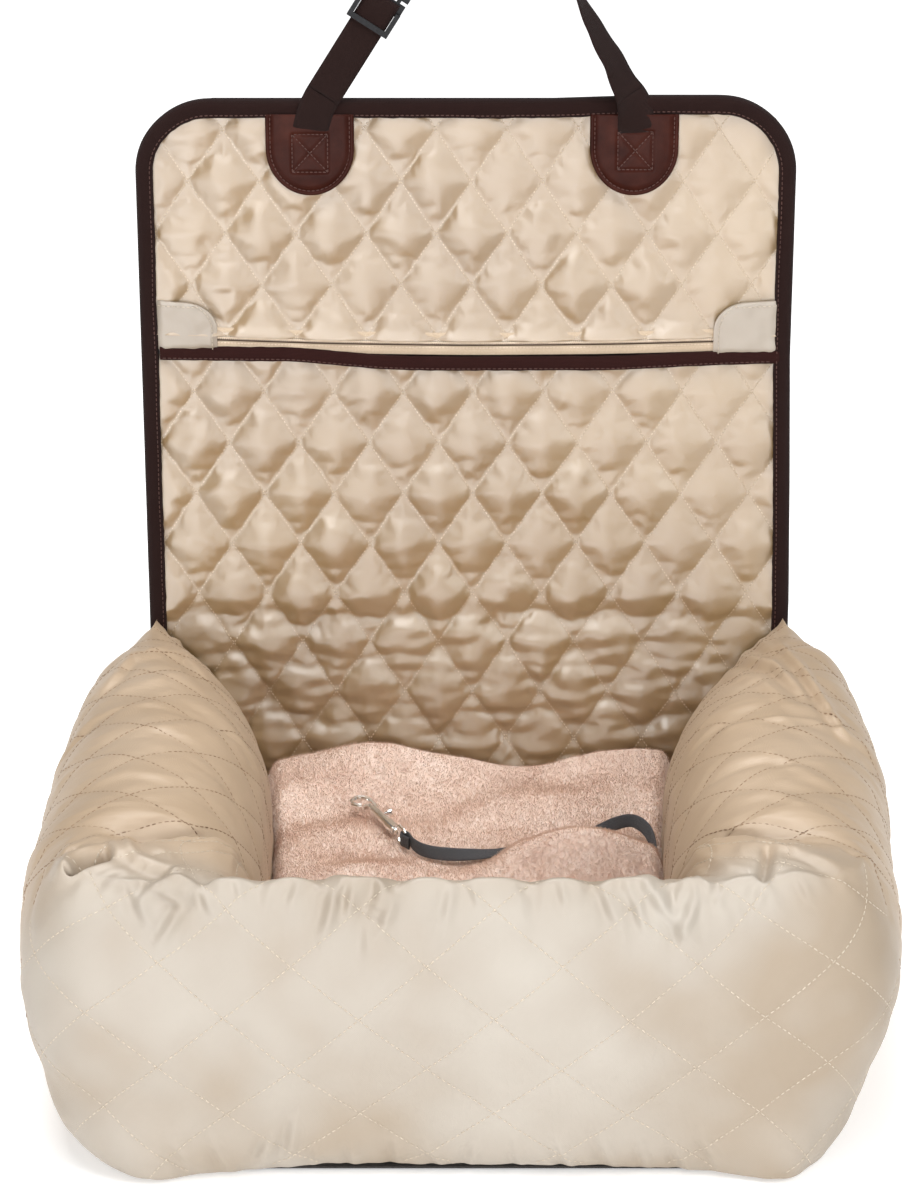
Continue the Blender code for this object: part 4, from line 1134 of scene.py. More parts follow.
# ---------------------------------------------------------------- bolsters
IN_X, IN_Y = 148.5, -140.0
W_SIDE, W_FRONT = 149.0, 128.0
FRONT_PROF = [(0.875, 2), (0.95, 24), (0.975, 58), (1.0, 98), (0.985, 138), (0.89, 181), (0.70, 213), (0.50, 197), (0.30, 174),
              (0.13, 146), (0.04, 120), (0.0, 90), (0.02, 50), (0.08, 6), (0.45, 2)]
SIDE_PROF = [(0.82, 3), (0.93, 25), (0.985, 60), (1.0, 105), (0.985, 150), (0.90, 190), (0.70, 213), (0.48, 220), (0.27, 212),
             (0.10, 190), (0.02, 155), (0.0, 110), (0.01, 60), (0.06, 5), (0.42, 2)]
# further back: absolute distance from the middle plane, and height
SIDE_Y = {
    40: [(273, 3), (289, 25), (297, 60), (299, 105), (296, 150), (283, 190), (257, 211), (225, 217), (194, 208), (168, 185),
         (155, 150), (151, 110), (152, 60), (158, 5), (214, 2)],
    120: [(275, 3), (289, 25), (295, 60), (297, 105), (294, 148), (283, 184), (262, 204), (235, 208), (206, 197), (181, 173),
          (165, 142), (158, 105), (156, 58), (159, 5), (214, 2)],
    180: [(277, 3), (287, 25), (291, 60), (292, 103), (289, 143), (276, 176), (259, 195), (239, 195), (216, 181), (194, 158),
          (178, 130), (167, 95), (162, 55), (160, 5), (216, 2)],
    215: [(279, 3), (286, 25), (289, 60), (289, 100), (285, 138), (268, 168), (254, 188), (241, 183), (224, 168), (204, 145),
          (187, 119), (174, 86), (166, 50), (160, 5), (218, 2)],
    240: [(276, 3), (282, 25), (284, 58), (282, 96), (275, 132), (261, 163), (249, 187), (240, 176), (224, 160), (205, 139),
          (188, 114), (176, 84), (167, 50), (160, 5), (216, 2)],
}
M_AROUND = 116
NSIDE = 70


# quilting: a diamond lattice in the cloth's own lengths, u along the band and v round it from the ridge
Q_HW, Q_HH = 44.6, 37.0
Q_DU, Q_V0 = -23.6, -57.0


def closed_curve(ctrl, count, sharp):
    """Points on a closed Catmull-Rom through the control points, a fixed share of them between each two."""
    n = len(ctrl)
    shares = SHARES
    out = []
    for i in range(n):
        p1, p2 = Vector(ctrl[i]), Vector(ctrl[(i + 1) % n])
        p0, p3 = Vector(ctrl[i - 1]), Vector(ctrl[(i + 2) % n])
        m1 = (p2 - p0) * 0.5 if i not in sharp else (p2 - p1) * 0.75
        m2 = (p3 - p1) * 0.5 if (i + 1) % n not in sharp else (p2 - p1) * 0.75
        for k in range(shares[i]):
            t = k / shares[i]
            h = (2 * t ** 3 - 3 * t ** 2 + 1, t ** 3 - 2 * t ** 2 + t, -2 * t ** 3 + 3 * t ** 2, t ** 3 - t ** 2)
            out.append(p1 * h[0] + m1 * h[1] + p2 * h[2] + m2 * h[3])
    return out


def make_shares():
    ctrl = [(r * 140, z) for r, z in FRONT_PROF]
    d = [math.dist(ctrl[i], ctrl[(i + 1) % len(ctrl)]) for i in range(len(ctrl))]
    sh = [max(2, round(x / sum(d) * M_AROUND)) for x in d]
    sh[-1] += M_AROUND - sum(sh)
    return sh


SHARES = make_shares()
J_OF = [sum(SHARES[:i]) for i in range(len(SHARES))]
J_RIDGE = J_OF[6]


def lerp_list(a, b, t):
    return [((1 - t) * p[0] + t * q[0], (1 - t) * p[1] + t * q[1]) for p, q in zip(a, b)]


def side_at(y):
    ys = [-140] + sorted(SIDE_Y)
    tabs = [[(IN_X + W_SIDE * r, z) for r, z in SIDE_PROF]] + [SIDE_Y[k] for k in sorted(SIDE_Y)]
    if y <= ys[0]:
        return tabs[0]
    for k in range(len(ys) - 1):
        if y <= ys[k + 1]:
            t = (y - ys[k]) / (ys[k + 1] - ys[k])
            pts = []
            for c in range(len(tabs[0])):
                p0 = Vector(tabs[max(0, k - 1)][c]); p1 = Vector(tabs[k][c]); p2 = Vector(tabs[k + 1][c])
                p3 = Vector(tabs[min(len(tabs) - 1, k + 2)][c])
                d0 = ys[k] - ys[max(0, k - 1)] or 1
                d1 = ys[k + 1] - ys[k]
                d2 = ys[min(len(ys) - 1, k + 2)] - ys[k + 1] or 1
                m1 = ((p1 - p0) / d0 + (p2 - p1) / d1) / (2 if k else 1) * d1
                m2 = ((p2 - p1) / d1 + (p3 - p2) / d2) / (2 if k + 2 < len(ys) else 1) * d1
                h = (2 * t ** 3 - 3 * t ** 2 + 1, t ** 3 - 2 * t ** 2 + t, -2 * t ** 3 + 3 * t ** 2, t ** 3 - t ** 2)
                pts.append(tuple(p1 * h[0] + m1 * h[1] + p2 * h[2] + m2 * h[3]))
            return pts
    return tabs[-1]


def build_bolsters():
    step = 6.0
    stations = []     # each: list of points, outer length so far
    ys = list(np.linspace(240, -140, NSIDE))
    for y in ys:
        sec = closed_curve(side_at(y), M_AROUND, {0, 13} | ({6} if y > 205 else set()))
        pts = []
        for (x, z) in sec:
            rear = max(0.0, (y - 120) / 120)
            yy = y + (z * math.tan(RECLINE) - 11.0) * rear
            pts.append(Vector((-x, yy, z)))
        stations.append(pts)
    ncorner = 46
    EAR = math.radians(30)
    for k in range(1, ncorner):
        phi = math.radians(90 * k / ncorner)        # 0 points to the side, 90 to the front
        c, s = math.cos(phi), math.sin(phi)
        r = ((c / W_SIDE) ** 4.6 + (s / W_FRONT) ** 4.6) ** (-1 / 4.6)
        t = min(1.0, max(0.0, phi / EAR))
        t = t * t * (3 - 2 * t)
        prof = lerp_list(SIDE_PROF, FRONT_PROF, t)
        ear = math.exp(-((phi - EAR) / 0.30) ** 2)
        prof[6] = (prof[6][0] + 0.09 * ear, prof[6][1] - 5.0 * ear)
        prof[7] = (prof[7][0], prof[7][1] - 9.0 * ear)
        foot = math.exp(-((math.degrees(phi) - 57) / 20) ** 2)
        prof[0] = (prof[0][0] + 0.12 * foot, prof[0][1])
        prof[1] = (prof[1][0] + 0.07 * foot, prof[1][1])
        sec = closed_curve([(q[0] * 140, q[1]) for q in prof], M_AROUND, {0, 13} | ({6} if phi > EAR * 0.8 else set()))
        stations.append([Vector((-IN_X - c * r * q.x / 140, IN_Y - s * r * q.x / 140, q.y)) for q in sec])
    xs = list(np.linspace(-IN_X, IN_X, 84))
    half = len(stations)
    for x in xs:
        sec = closed_curve([(q[0] * 140, q[1]) for q in FRONT_PROF], M_AROUND, {0, 6, 13})
        stations.append([Vector((x, IN_Y - W_FRONT * q.x / 140, q.y)) for q in sec])
    for k in range(half - 1, -1, -1):
        stations.append([Vector((-p.x, p.y, p.z)) for p in stations[k]])
    N = len(stations)
    co = np.array([[tuple(p) for p in st] for st in stations])       # N x M x 3
    # the whole bed sits a little to the left in front
    tt = np.clip((co[:, :, 1] + 270) / 506, 0, 1)
    co[:, :, 0] += -6.5 * (1 - tt)
    # at the front corners the side's crest runs on to the ridge, behind a narrow sewn valley
    for i in list(range(NSIDE, half)) + list(range(N - half, N - NSIDE)):
        seg = np.linalg.norm(np.diff(co[i, J_RIDGE:J_OF[11] + 1], axis=0), axis=1)
        back = np.concatenate([[0], np.cumsum(seg)])
        k = i if i < N // 2 else N - 1 - i
        phi = math.degrees(math.radians(90 * (k - NSIDE + 1) / ncorner))
        w = min(1.0, max(0.0, (phi - 12) / 14))
        w = w * w * (3 - 2 * w)
        for j in range(J_RIDGE + 1, J_OF[11] + 1):
            x, y, z = co[i, j]
            rx = (abs(x + 6.5 * (1 - min(1, max(0, (y + 270) / 506)))) - IN_X) / W_SIDE
            crest = float(np.interp(rx, [-0.02, 0.02, 0.06, 0.14, 0.27, 0.48, 0.70, 0.86], [150, 176, 194, 206, 213, 216, 211, 196]))
            want = max(z, crest)
            a = back[j - J_RIDGE]
            lift = 1 - math.exp(-(a / 8.0) ** 2)
            groove = 2.5 * math.exp(-((a - 4) / 3.5) ** 2)
            co[i, j, 2] += w * ((want - z) * lift - groove)
    # the two sides are stuffed unevenly
    for i in range(N):
        for j in range(M_AROUND):
            x, y, z = co[i, j]
            if abs(x) < IN_X + 45:
                continue
            w = min(1.0, (abs(x) - IN_X - 45) / 60)
            fr = min(1.0, max(0.0, (20 - y) / 140))
            if x < 0:
                d = fr * float(np.interp(z, [0, 25, 40, 75, 110, 140, 175, 225], [-24, -13, -8, -3, 0, 3, 9, 6]))
                d += (1 - fr) * float(np.interp(z, [0, 90, 140, 225], [0, 1, 5, 5])) * min(1.0, max(0.0, (200 - y) / 50))
            else:
                d = fr * float(np.interp(z, [0, 20, 40, 75, 110, 150, 225], [-28, -23, -18, -11, -4, 2, 2]))
                d += (1 - fr) * float(np.interp(z, [0, 90, 140, 225], [0, 2, 9, 10])) * min(1.0, max(0.0, (212 - y) / 50))
            co[i, j, 0] += w * d * (1 if x > 0 else -1)
    # irregular stuffing
    for i in range(N):
        for j in range(M_AROUND):
            p = co[i, j]
            a = 2.6 * nz(p[0], p[1] + p[2] * 0.7, 90, 0.011) + 1.2 * nz(p[0], p[1] + p[2], 95, 0.03)
            d = p - co[i].mean(0)
            d[2] *= 0.8
            L = np.linalg.norm(d)
            if p[2] > 6:
                co[i, j] = p + d / L * a
    mid = co[:, J_OF[3], :]
    Ls = np.concatenate([[0], np.cumsum(np.linalg.norm(np.diff(mid, axis=0), axis=1))])
    per = np.array([sum(np.linalg.norm(co[i, (j + 1) % M_AROUND] - co[i, j]) for j in range(M_AROUND)) for i in range(N)])
    A = np.zeros((N, M_AROUND))
    for i in range(N):
        seg = np.linalg.norm(np.roll(co[i], -1, 0) - co[i], axis=1)
        cum = np.concatenate([[0], np.cumsum(seg)[:-1]])
        A[i] = cum - cum[J_RIDGE]
    faces = []
    for i in range(N - 1):
        for j in range(M_AROUND):
            j2 = (j + 1) % M_AROUND
            faces.append((i * M_AROUND + j, i * M_AROUND + j2, (i + 1) * M_AROUND + j2, (i + 1) * M_AROUND + j))
    flat = co.reshape(-1, 3) * 0.001
    i0, i1 = NSIDE + int(46 * 30 / 90) - 2, N - NSIDE - int(46 * 30 / 90) + 1
    # gathers along the ridge, the bottom seam and the ends
    nrm0 = vertex_normals(co.reshape(-1, 3), faces).reshape(N, M_AROUND, 3)
    if nrm0[N // 2, J_OF[3], 1] > 0:
        faces = [f[::-1] for f in faces]
        nrm0 = -nrm0
    rnd = random.Random(11)
    gath = np.zeros((N, M_AROUND))
    LL = Ls[:, None]
    u0 = (Ls[N // 2] + Ls[(N - 1) // 2]) / 2 + Q_DU
    # where the quilting crosses the ridge, the seam is pulled down and the cloth gathers
    shift = Q_V0 / Q_HH * Q_HW
    cross = sorted(u0 + sg * shift + 2 * Q_HW * c for sg in (1, -1) for c in range(-12, 13))
    cross = [c for c in cross if Ls[i0] + 8 < c < Ls[i1] - 8]
    dip = sum(np.exp(-((Ls - c) / 9.0) ** 2) * rnd.uniform(0.5, 1.2) for c in cross)
    for i in range(i0, i1 + 1):
        fade = np.exp(-(A[i] / 14.0) ** 2) * (np.abs(A[i]) < 60)
        co[i, :, 2] += (2.2 - 5.5 * dip[i]) * fade
        co[i, :, 1] += 2.0 * nz(Ls[i], 0, 61, 0.03) * fade
        wide = np.exp(-(A[i] / 26.0) ** 2) * (np.abs(A[i]) < 90)
        co[i, :, 2] += wide * (11.0 * math.exp(-((Ls[i] - Ls[i0] - 34) / 22) ** 2) + 5.0 * math.exp(-((Ls[i] - Ls[i0] - 105) / 20) ** 2)
                               + 7.0 * math.exp(-((Ls[i1] - Ls[i] - 55) / 45) ** 2))
    starts = []
    for c in cross:
        starts += [(c + rnd.uniform(-5, 5), 1.0) for _ in range(rnd.choice((1, 3, 4, 5)))]
    starts += [(rnd.uniform(Ls[i0], Ls[i1]), 0.5) for _ in range(20)]
    for c0 in (55, 90, 235, 262, 430, 468):        # where the photo shows bunches of folds
        starts += [(Ls[i0] + c0 + rnd.uniform(-14, 14), 1.7) for _ in range(5)]
    for where, gain in starts:
        ln, w = rnd.uniform(14, 50), rnd.uniform(3.0, 6.0)
        tilt = rnd.uniform(-0.8, 0.8)
        ln *= 0.8 + 0.35 * gain
        amp = gain * rnd.choice((-1, 1, 1)) * rnd.uniform(0.8, 2.6)
        dist = np.clip(-A, 0, None)
        f = np.clip(1 - dist / ln, 0, 1) * (A < 2) * np.clip(dist / 4, 0, 1)
        gath += amp * np.exp(-((LL - where - tilt * dist) / (w * (0.7 + dist / ln * 0.8))) ** 2) * f
        f2 = np.clip(1 - A / (ln * 0.7), 0, 1) * (A >= 0) * np.clip(A / 4, 0, 1)
        gath += amp * 0.7 * np.exp(-((LL - where + tilt * A) / w) ** 2) * f2
    bottom = A[:, J_OF[0]][:, None]
    for _ in range(60):
        where = rnd.uniform(0, Ls[-1])
        ln, w = rnd.uniform(10, 26), rnd.uniform(4, 8)
        dist = A - bottom
        amp = rnd.choice((-1, 1)) * rnd.uniform(0.5, 1.7)
        f = np.clip(1 - dist / ln, 0, 1) * (dist > 1) * (dist < 90)
        gath += amp * np.exp(-((LL - where - rnd.uniform(-0.4, 0.4) * dist) / w) ** 2) * f
    for side in (0, 1):
        end = LL if side == 0 else Ls[-1] - LL
        for _ in range(26):
            where = rnd.uniform(-190, 190)
            ln, w = rnd.uniform(25, 90), rnd.uniform(4, 9)
            amp = rnd.choice((-1, 1)) * rnd.uniform(0.8, 2.6)
            f = np.clip(1 - end / ln, 0, 1)
            gath += amp * np.exp(-((A - where - rnd.uniform(-0.4, 0.4) * end) / w) ** 2) * f
        # creases that fan out from the sewn corner over the side
        le = Ls[i0] if side == 0 else Ls[i1]
        away = (le - LL) if side == 0 else (LL - le)
        for k in range(20):
            th = math.radians(-78 + 8.2 * k + rnd.uniform(-4, 4))
            t = away * math.cos(th) + A * math.sin(th)
            d = -away * math.sin(th) + A * math.cos(th)
            ln, w = rnd.uniform(40, 120), rnd.uniform(3.0, 5.5)
            amp = rnd.choice((-1, 1)) * rnd.uniform(0.7, 2.0)
            f = np.clip(1 - t / ln, 0, 1) * np.clip(t / 12, 0, 1) * (np.abs(A) < 150)
            gath += amp * np.exp(-(d / (w * (0.6 + 0.9 * np.clip(t / ln, 0, 1)))) ** 2) * f
    # long shallow creases along the sides
    for _ in range(150):
        side = rnd.choice((0, 1))
        le = Ls[i0] if side == 0 else Ls[i1]
        c = rnd.uniform(20, 330)
        c = le - c if side == 0 else le + c
        a0, th = rnd.uniform(-120, 90), math.radians(rnd.uniform(50, 130))
        t = (LL - c) * math.cos(th) + (A - a0) * math.sin(th)
        d = -(LL - c) * math.sin(th) + (A - a0) * math.cos(th)
        ln = rnd.uniform(25, 60)
        gath += rnd.choice((-1, 1)) * rnd.uniform(0.4, 1.5) * np.exp(-(d / rnd.uniform(2.2, 4.5)) ** 2 - (t / ln) ** 2)
    gath[:, J_OF[13]:] = 0
    co += nrm0 * gath[:, :, None]
    # the front hem is lifted in its middle, so the dark base sheet shows under it as a thin strip: a painted contact
    # shadow
    span = np.clip((135 - np.abs(co[:, J_OF[0], 0] + 10)) / 50, 0, 1) * (co[:, J_OF[0], 1] < -200)
    wave = np.array([0.8 * nz(L, 0, 71, 0.045) + 0.5 * nz(L, 0, 72, 0.11) for L in Ls])
    ring = per[:, None]
    hem = (A - bottom + ring / 2) % ring - ring / 2
    co[:, :, 2] += (span * (3.6 + 1.6 * wave))[:, None] * np.exp(-(hem / 11.0) ** 2)
    flat = co.reshape(-1, 3) * 0.001
    pin = np.full((N, M_AROUND), 0.0)
    pin[:, J_OF[0]] = 1.0
    pin[:, J_OF[13]:] = 1.0
    pin[:2, :] = 1.0
    pin[-2:, :] = 1.0
    pin[i0:i1 + 1, J_RIDGE] = 1.0
    loose = np.zeros((N, M_AROUND))
    loose[i0:i1 + 1] = np.exp(-(A[i0:i1 + 1] / 26.0) ** 2) * (np.abs(A[i0:i1 + 1]) < 90)
    ends = np.minimum(LL, Ls[-1] - LL)
    loose = np.maximum(loose, np.exp(-(ends / 40.0) ** 2) * np.ones_like(A))
    side_part = np.clip((np.maximum(Ls[i0] - LL, LL - Ls[i1]) + 10) / 30, 0, 1)
    loose = np.maximum(loose, 0.32 * side_part * np.ones_like(A))
    out = cloth(flat, faces, pin.reshape(-1), frames=14, pressure=2.5, shrink=-0.004, bend=0.1, tension=20.0, mass=0.2, cap=0.014,
                loose=loose.reshape(-1), loose_shrink=-0.07)
    # keep the wrinkles the cloth found, and most of the drawn outline
    disp = (out - flat).reshape(N, M_AROUND, 3)
    low = disp.copy()
    for _ in range(30):
        up = np.concatenate([low[:1], low[:-1]])
        dn = np.concatenate([low[1:], low[-1:]])
        low = 0.4 * low + 0.15 * (up + dn) + 0.15 * (np.roll(low, 1, 1) + np.roll(low, -1, 1))
    front_part = 1 - side_part
    calm = 1.15 - front_part * np.clip((np.abs(A) - 40) / 35, 0, 1) * 0.85
    out = (flat.reshape(N, M_AROUND, 3) + 0.30 * low + calm[:, :, None] * (disp - low)).reshape(-1, 3)
    out[:, 2] = np.maximum(out[:, 2], 0.0012)
    nrm = vertex_normals(out, faces)
    return out.reshape(N, M_AROUND, 3), nrm.reshape(N, M_AROUND, 3), faces, Ls, A, (N, i0, i1)


B_CO, B_N, B_F, B_L, B_A, (B_COUNT, B_I0, B_I1) = build_bolsters()


L_MID = float(B_L[B_COUNT // 2] + B_L[(B_COUNT - 1) // 2]) / 2


def bolster_sample(i, j):
    """The surface and its normal at fractional station i and place j round it."""
    i = max(0.0, min(B_COUNT - 1.001, i))
    ia, fi = int(i), i - int(i)
    ja, fj = int(math.floor(j)) % M_AROUND, j - math.floor(j)
    jb = (ja + 1) % M_AROUND
    p = ((B_CO[ia, ja] * (1 - fj) + B_CO[ia, jb] * fj) * (1 - fi) + (B_CO[ia + 1, ja] * (1 - fj) + B_CO[ia + 1, jb] * fj) * fi)
    n = ((B_N[ia, ja] * (1 - fj) + B_N[ia, jb] * fj) * (1 - fi) + (B_N[ia + 1, ja] * (1 - fj) + B_N[ia + 1, jb] * fj) * fi)
    return Vector(p), Vector(n).normalized()


EAR0, EAR1 = float(B_L[B_I0]), float(B_L[B_I1])


def lattice(L):
    """Which quilting this part of the cloth carries: half diamond sizes and one crossing."""
    if L < EAR0:
        return 27.2, 41.4, EAR0 - 18.0, -12.0
    if L > EAR1:
        return 27.2, 41.4, EAR1 + 18.0, -12.0
    return Q_HW, Q_HH, L_MID + Q_DU, Q_V0


def quilt_bolsters():
    """Presses the seams in and gives each diamond a slight crown."""
    n = B_CO.copy()
    for i in range(B_COUNT):
        hw, hh, u0, v0 = lattice(B_L[i])
        wide = 2 * hw * hh / math.hypot(hw, hh)
        for j in range(M_AROUND):
            if J_OF[13] <= j:
                continue
            u, v = (B_L[i] - u0) / hw, (B_A[i, j] - v0) / hh
            a, b = (u + v) / 2, (u - v) / 2
            d = min(abs(a - round(a)), abs(b - round(b))) * wide
            crown = 1.0 - math.exp(-(d / 4.5) ** 2)
            deep = 0.0009 if EAR0 < B_L[i] < EAR1 else 0.0014
            n[i, j] = B_CO[i, j] + B_N[i, j] * (deep * crown - deep * 0.6)
    return n


VIEW_AT = np.array([-10.66, -2078.73, 1237.72])
VIEW_F = 96.065 / 36 * 1200


def seen_at(P):
    """Where points in millimetres appear in the photo, in its pixels."""
    d = P - VIEW_AT
    c, s = math.cos(math.radians(24)), math.sin(math.radians(24))
    deep = d[:, 1] * c - d[:, 2] * s
    return 456 + VIEW_F * d[:, 0] / deep, 600 - VIEW_F * (d[:, 1] * s + d[:, 2] * c) / deep


# single folds of the cloth: zone, points in the photo's pixels, half width in pixels, height in mm, 1 for a crease beside it
FOLD_LINES = [
    ("top", [(70, 868), (84, 860), (106, 853)], 4.2, -19.0, 0), ("top", [(58, 872), (70, 852), (98, 842), (126, 848)], 7.0, 4.0, 0),
    ("top", [(116, 850), (148, 862), (182, 868)], 6.0, 3.6, 1), ("top", [(124, 838), (138, 858)], 5.0, 2.4, 1),
    ("top", [(150, 846), (176, 858)], 5.0, 2.0, 1), ("top", [(768, 852), (764, 872)], 6.5, -8.0, 0),
    ("top", [(742, 850), (766, 843), (794, 848)], 7.0, 2.5, 0), ("top", [(700, 856), (738, 868)], 6.0, 2.2, 1),
    ("top", [(796, 852), (842, 866)], 6.0, 2.4, 1),
    ("front", [(128, 878), (150, 925)], 6.0, 2.4, 1), ("front", [(150, 884), (188, 905)], 6.0, 2.6, 1),
    ("front", [(186, 902), (158, 946)], 6.0, 2.6, 1), ("front", [(198, 884), (214, 914)], 5.0, 2.0, 1),
    ("front", [(238, 880), (242, 902)], 5.0, 1.6, 1), ("front", [(300, 882), (290, 906)], 5.0, 1.5, 1),
    ("front", [(336, 890), (322, 940)], 6.0, 2.2, 1), ("front", [(354, 886), (346, 918)], 5.0, 2.0, 1),
    ("front", [(366, 903), (386, 909)], 3.4, 1.1, 1), ("front", [(366, 912), (388, 919)], 3.4, 1.1, 1),
    ("front", [(400, 888), (380, 936)], 6.0, 2.0, 1), ("front", [(454, 882), (446, 924)], 6.0, 2.0, 1),
    ("front", [(470, 882), (480, 906)], 5.0, 1.5, 1), ("front", [(560, 880), (567, 906)], 5.0, 1.6, 1),
    ("front", [(598, 878), (618, 922)], 6.0, 2.5, 1), ("front", [(628, 880), (648, 934)], 6.0, 2.5, 1),
    ("front", [(642, 878), (692, 940)], 7.0, 2.7, 1), ("front", [(702, 888), (684, 932)], 6.0, 2.5, 1),
    ("front", [(726, 882), (716, 908)], 5.0, 1.7, 1), ("front", [(768, 876), (756, 908)], 6.0, 2.0, 1),
    ("front", [(800, 876), (812, 902)], 5.0, 1.6, 1), ("front", [(272, 1140), (256, 1168)], 6.0, 3.8, 1),
    ("front", [(296, 1118), (288, 1164)], 6.0, 3.2, 1), ("front", [(170, 1140), (196, 1166)], 7.0, 2.4, 1),
    ("front", [(556, 1142), (574, 1168)], 5.0, 3.2, 1), ("front", [(598, 1136), (618, 1168)], 6.0, 3.2, 1),
    ("front", [(672, 1142), (690, 1172)], 6.0, 3.2, 1), ("front", [(700, 1136), (722, 1170)], 6.0, 2.8, 1),
    ("front", [(424, 1146), (446, 1166)], 5.0, 3.4, 1), ("front", [(350, 1144), (356, 1168)], 5.0, 2.6, 1),
    ("front", [(394, 1136), (400, 1166)], 6.0, 2.6, 1), ("front", [(476, 1144), (470, 1166)], 5.0, 2.6, 1),
    ("front", [(514, 1148), (524, 1166)], 5.0, 2.6, 1), ("front", [(640, 1146), (650, 1168)], 5.0, 2.8, 1),
    ("front", [(212, 1140), (232, 1168)], 6.0, 3.0, 1), ("front", [(318, 1150), (314, 1166)], 4.5, 2.4, 1),
    ("side", [(774, 638), (802, 668), (836, 720), (854, 748)], 4.4, 5.0, 1), ("side", [(714, 654), (772, 664), (806, 694)], 4.4, 5.4, 1),
    ("side", [(738, 634), (786, 652)], 5.0, 3.0, 1), ("side", [(706, 672), (760, 680), (800, 712)], 5.0, 1.8, 1),
    ("side", [(98, 692), (132, 656), (166, 648)], 4.6, 4.0, 1), ("side", [(150, 650), (186, 656), (214, 684)], 4.6, 5.0, 1),
    ("side", [(120, 690), (170, 676), (214, 690)], 5.0, 2.0, 1), ("side", [(92, 716), (150, 702), (226, 712)], 5.0, 1.6, 1),
    ("side", [(76, 742), (150, 726), (236, 744)], 5.0, 1.5, 1), ("side", [(60, 790), (130, 770), (240, 790)], 5.0, 1.4, 1),
    ("side", [(48, 828), (110, 806), (200, 812)], 5.0, 1.5, 1), ("side", [(700, 730), (780, 716), (850, 760)], 5.0, 1.4, 1),
    ("side", [(690, 770), (770, 752), (864, 800)], 5.0, 1.4, 1), ("side", [(684, 812), (770, 790), (872, 838)], 5.0, 1.4, 1),
    ("side", [(240, 800), (252, 840)], 5.0, 1.2, 1),
]


def fold_shift(P):
    """How far the folds move points of the cover, in millimetres."""
    u, v = seen_at(P)
    move = np.zeros_like(P)
    way = {"front": (0.0, -0.97, 0.24), "top": (0.0, -0.2, 0.98), "side": (0.0, -0.55, 0.83)}
    zone = {"front": (P[:, 1] < -222) & (v > 862), "top": (P[:, 1] > -240) & (P[:, 1] < -120) & (P[:, 2] > 150),
            "side": (P[:, 1] > -130) & (P[:, 2] > 60)}
    for where, pts, w, amp, pair in FOLD_LINES:
        seg = [math.dist(a, b) for a, b in zip(pts, pts[1:])]
        total, best, sign, along, done = sum(seg), np.full(len(P), 1e9), np.zeros(len(P)), np.zeros(len(P)), 0.0
        for (a, b), ln in zip(zip(pts, pts[1:]), seg):
            dx, dy = (b[0] - a[0]) / ln, (b[1] - a[1]) / ln
            t = np.clip((u - a[0]) * dx + (v - a[1]) * dy, 0, ln)
            e = np.hypot(u - a[0] - dx * t, v - a[1] - dy * t)
            near = e < best
            best = np.where(near, e, best)
            sign = np.where(near, np.sign(-(u - a[0]) * dy + (v - a[1]) * dx), sign)
            along = np.where(near, (done + t) / total, along)
            done += ln
        d = best * np.where(sign == 0, 1, sign) / w
        taper = 0.25 + 0.75 * np.sin(math.pi * np.clip(along, 0, 1)) if pair else 1.0
        f = np.exp(-d ** 2) - (0.75 * np.exp(-(d - 1.5) ** 2) if pair else 0.0)
        f = np.where(best < 4 * w, f, 0.0) * taper * amp * zone[where]
        move += f[:, None] * np.array(way[where])
    # broad dimples of the front
    soft = np.clip((-P[:, 1] - 228) / 14, 0, 1)
    k = np.where(soft > 0)[0]
    for q in k:
        x, z = P[q, 0], P[q, 2]
        move[q, 1] -= soft[q] * (2.4 * nz(x, z * 0.8, 301, 0.009) + 1.2 * nz(x, z * 0.8, 305, 0.022))
    return move


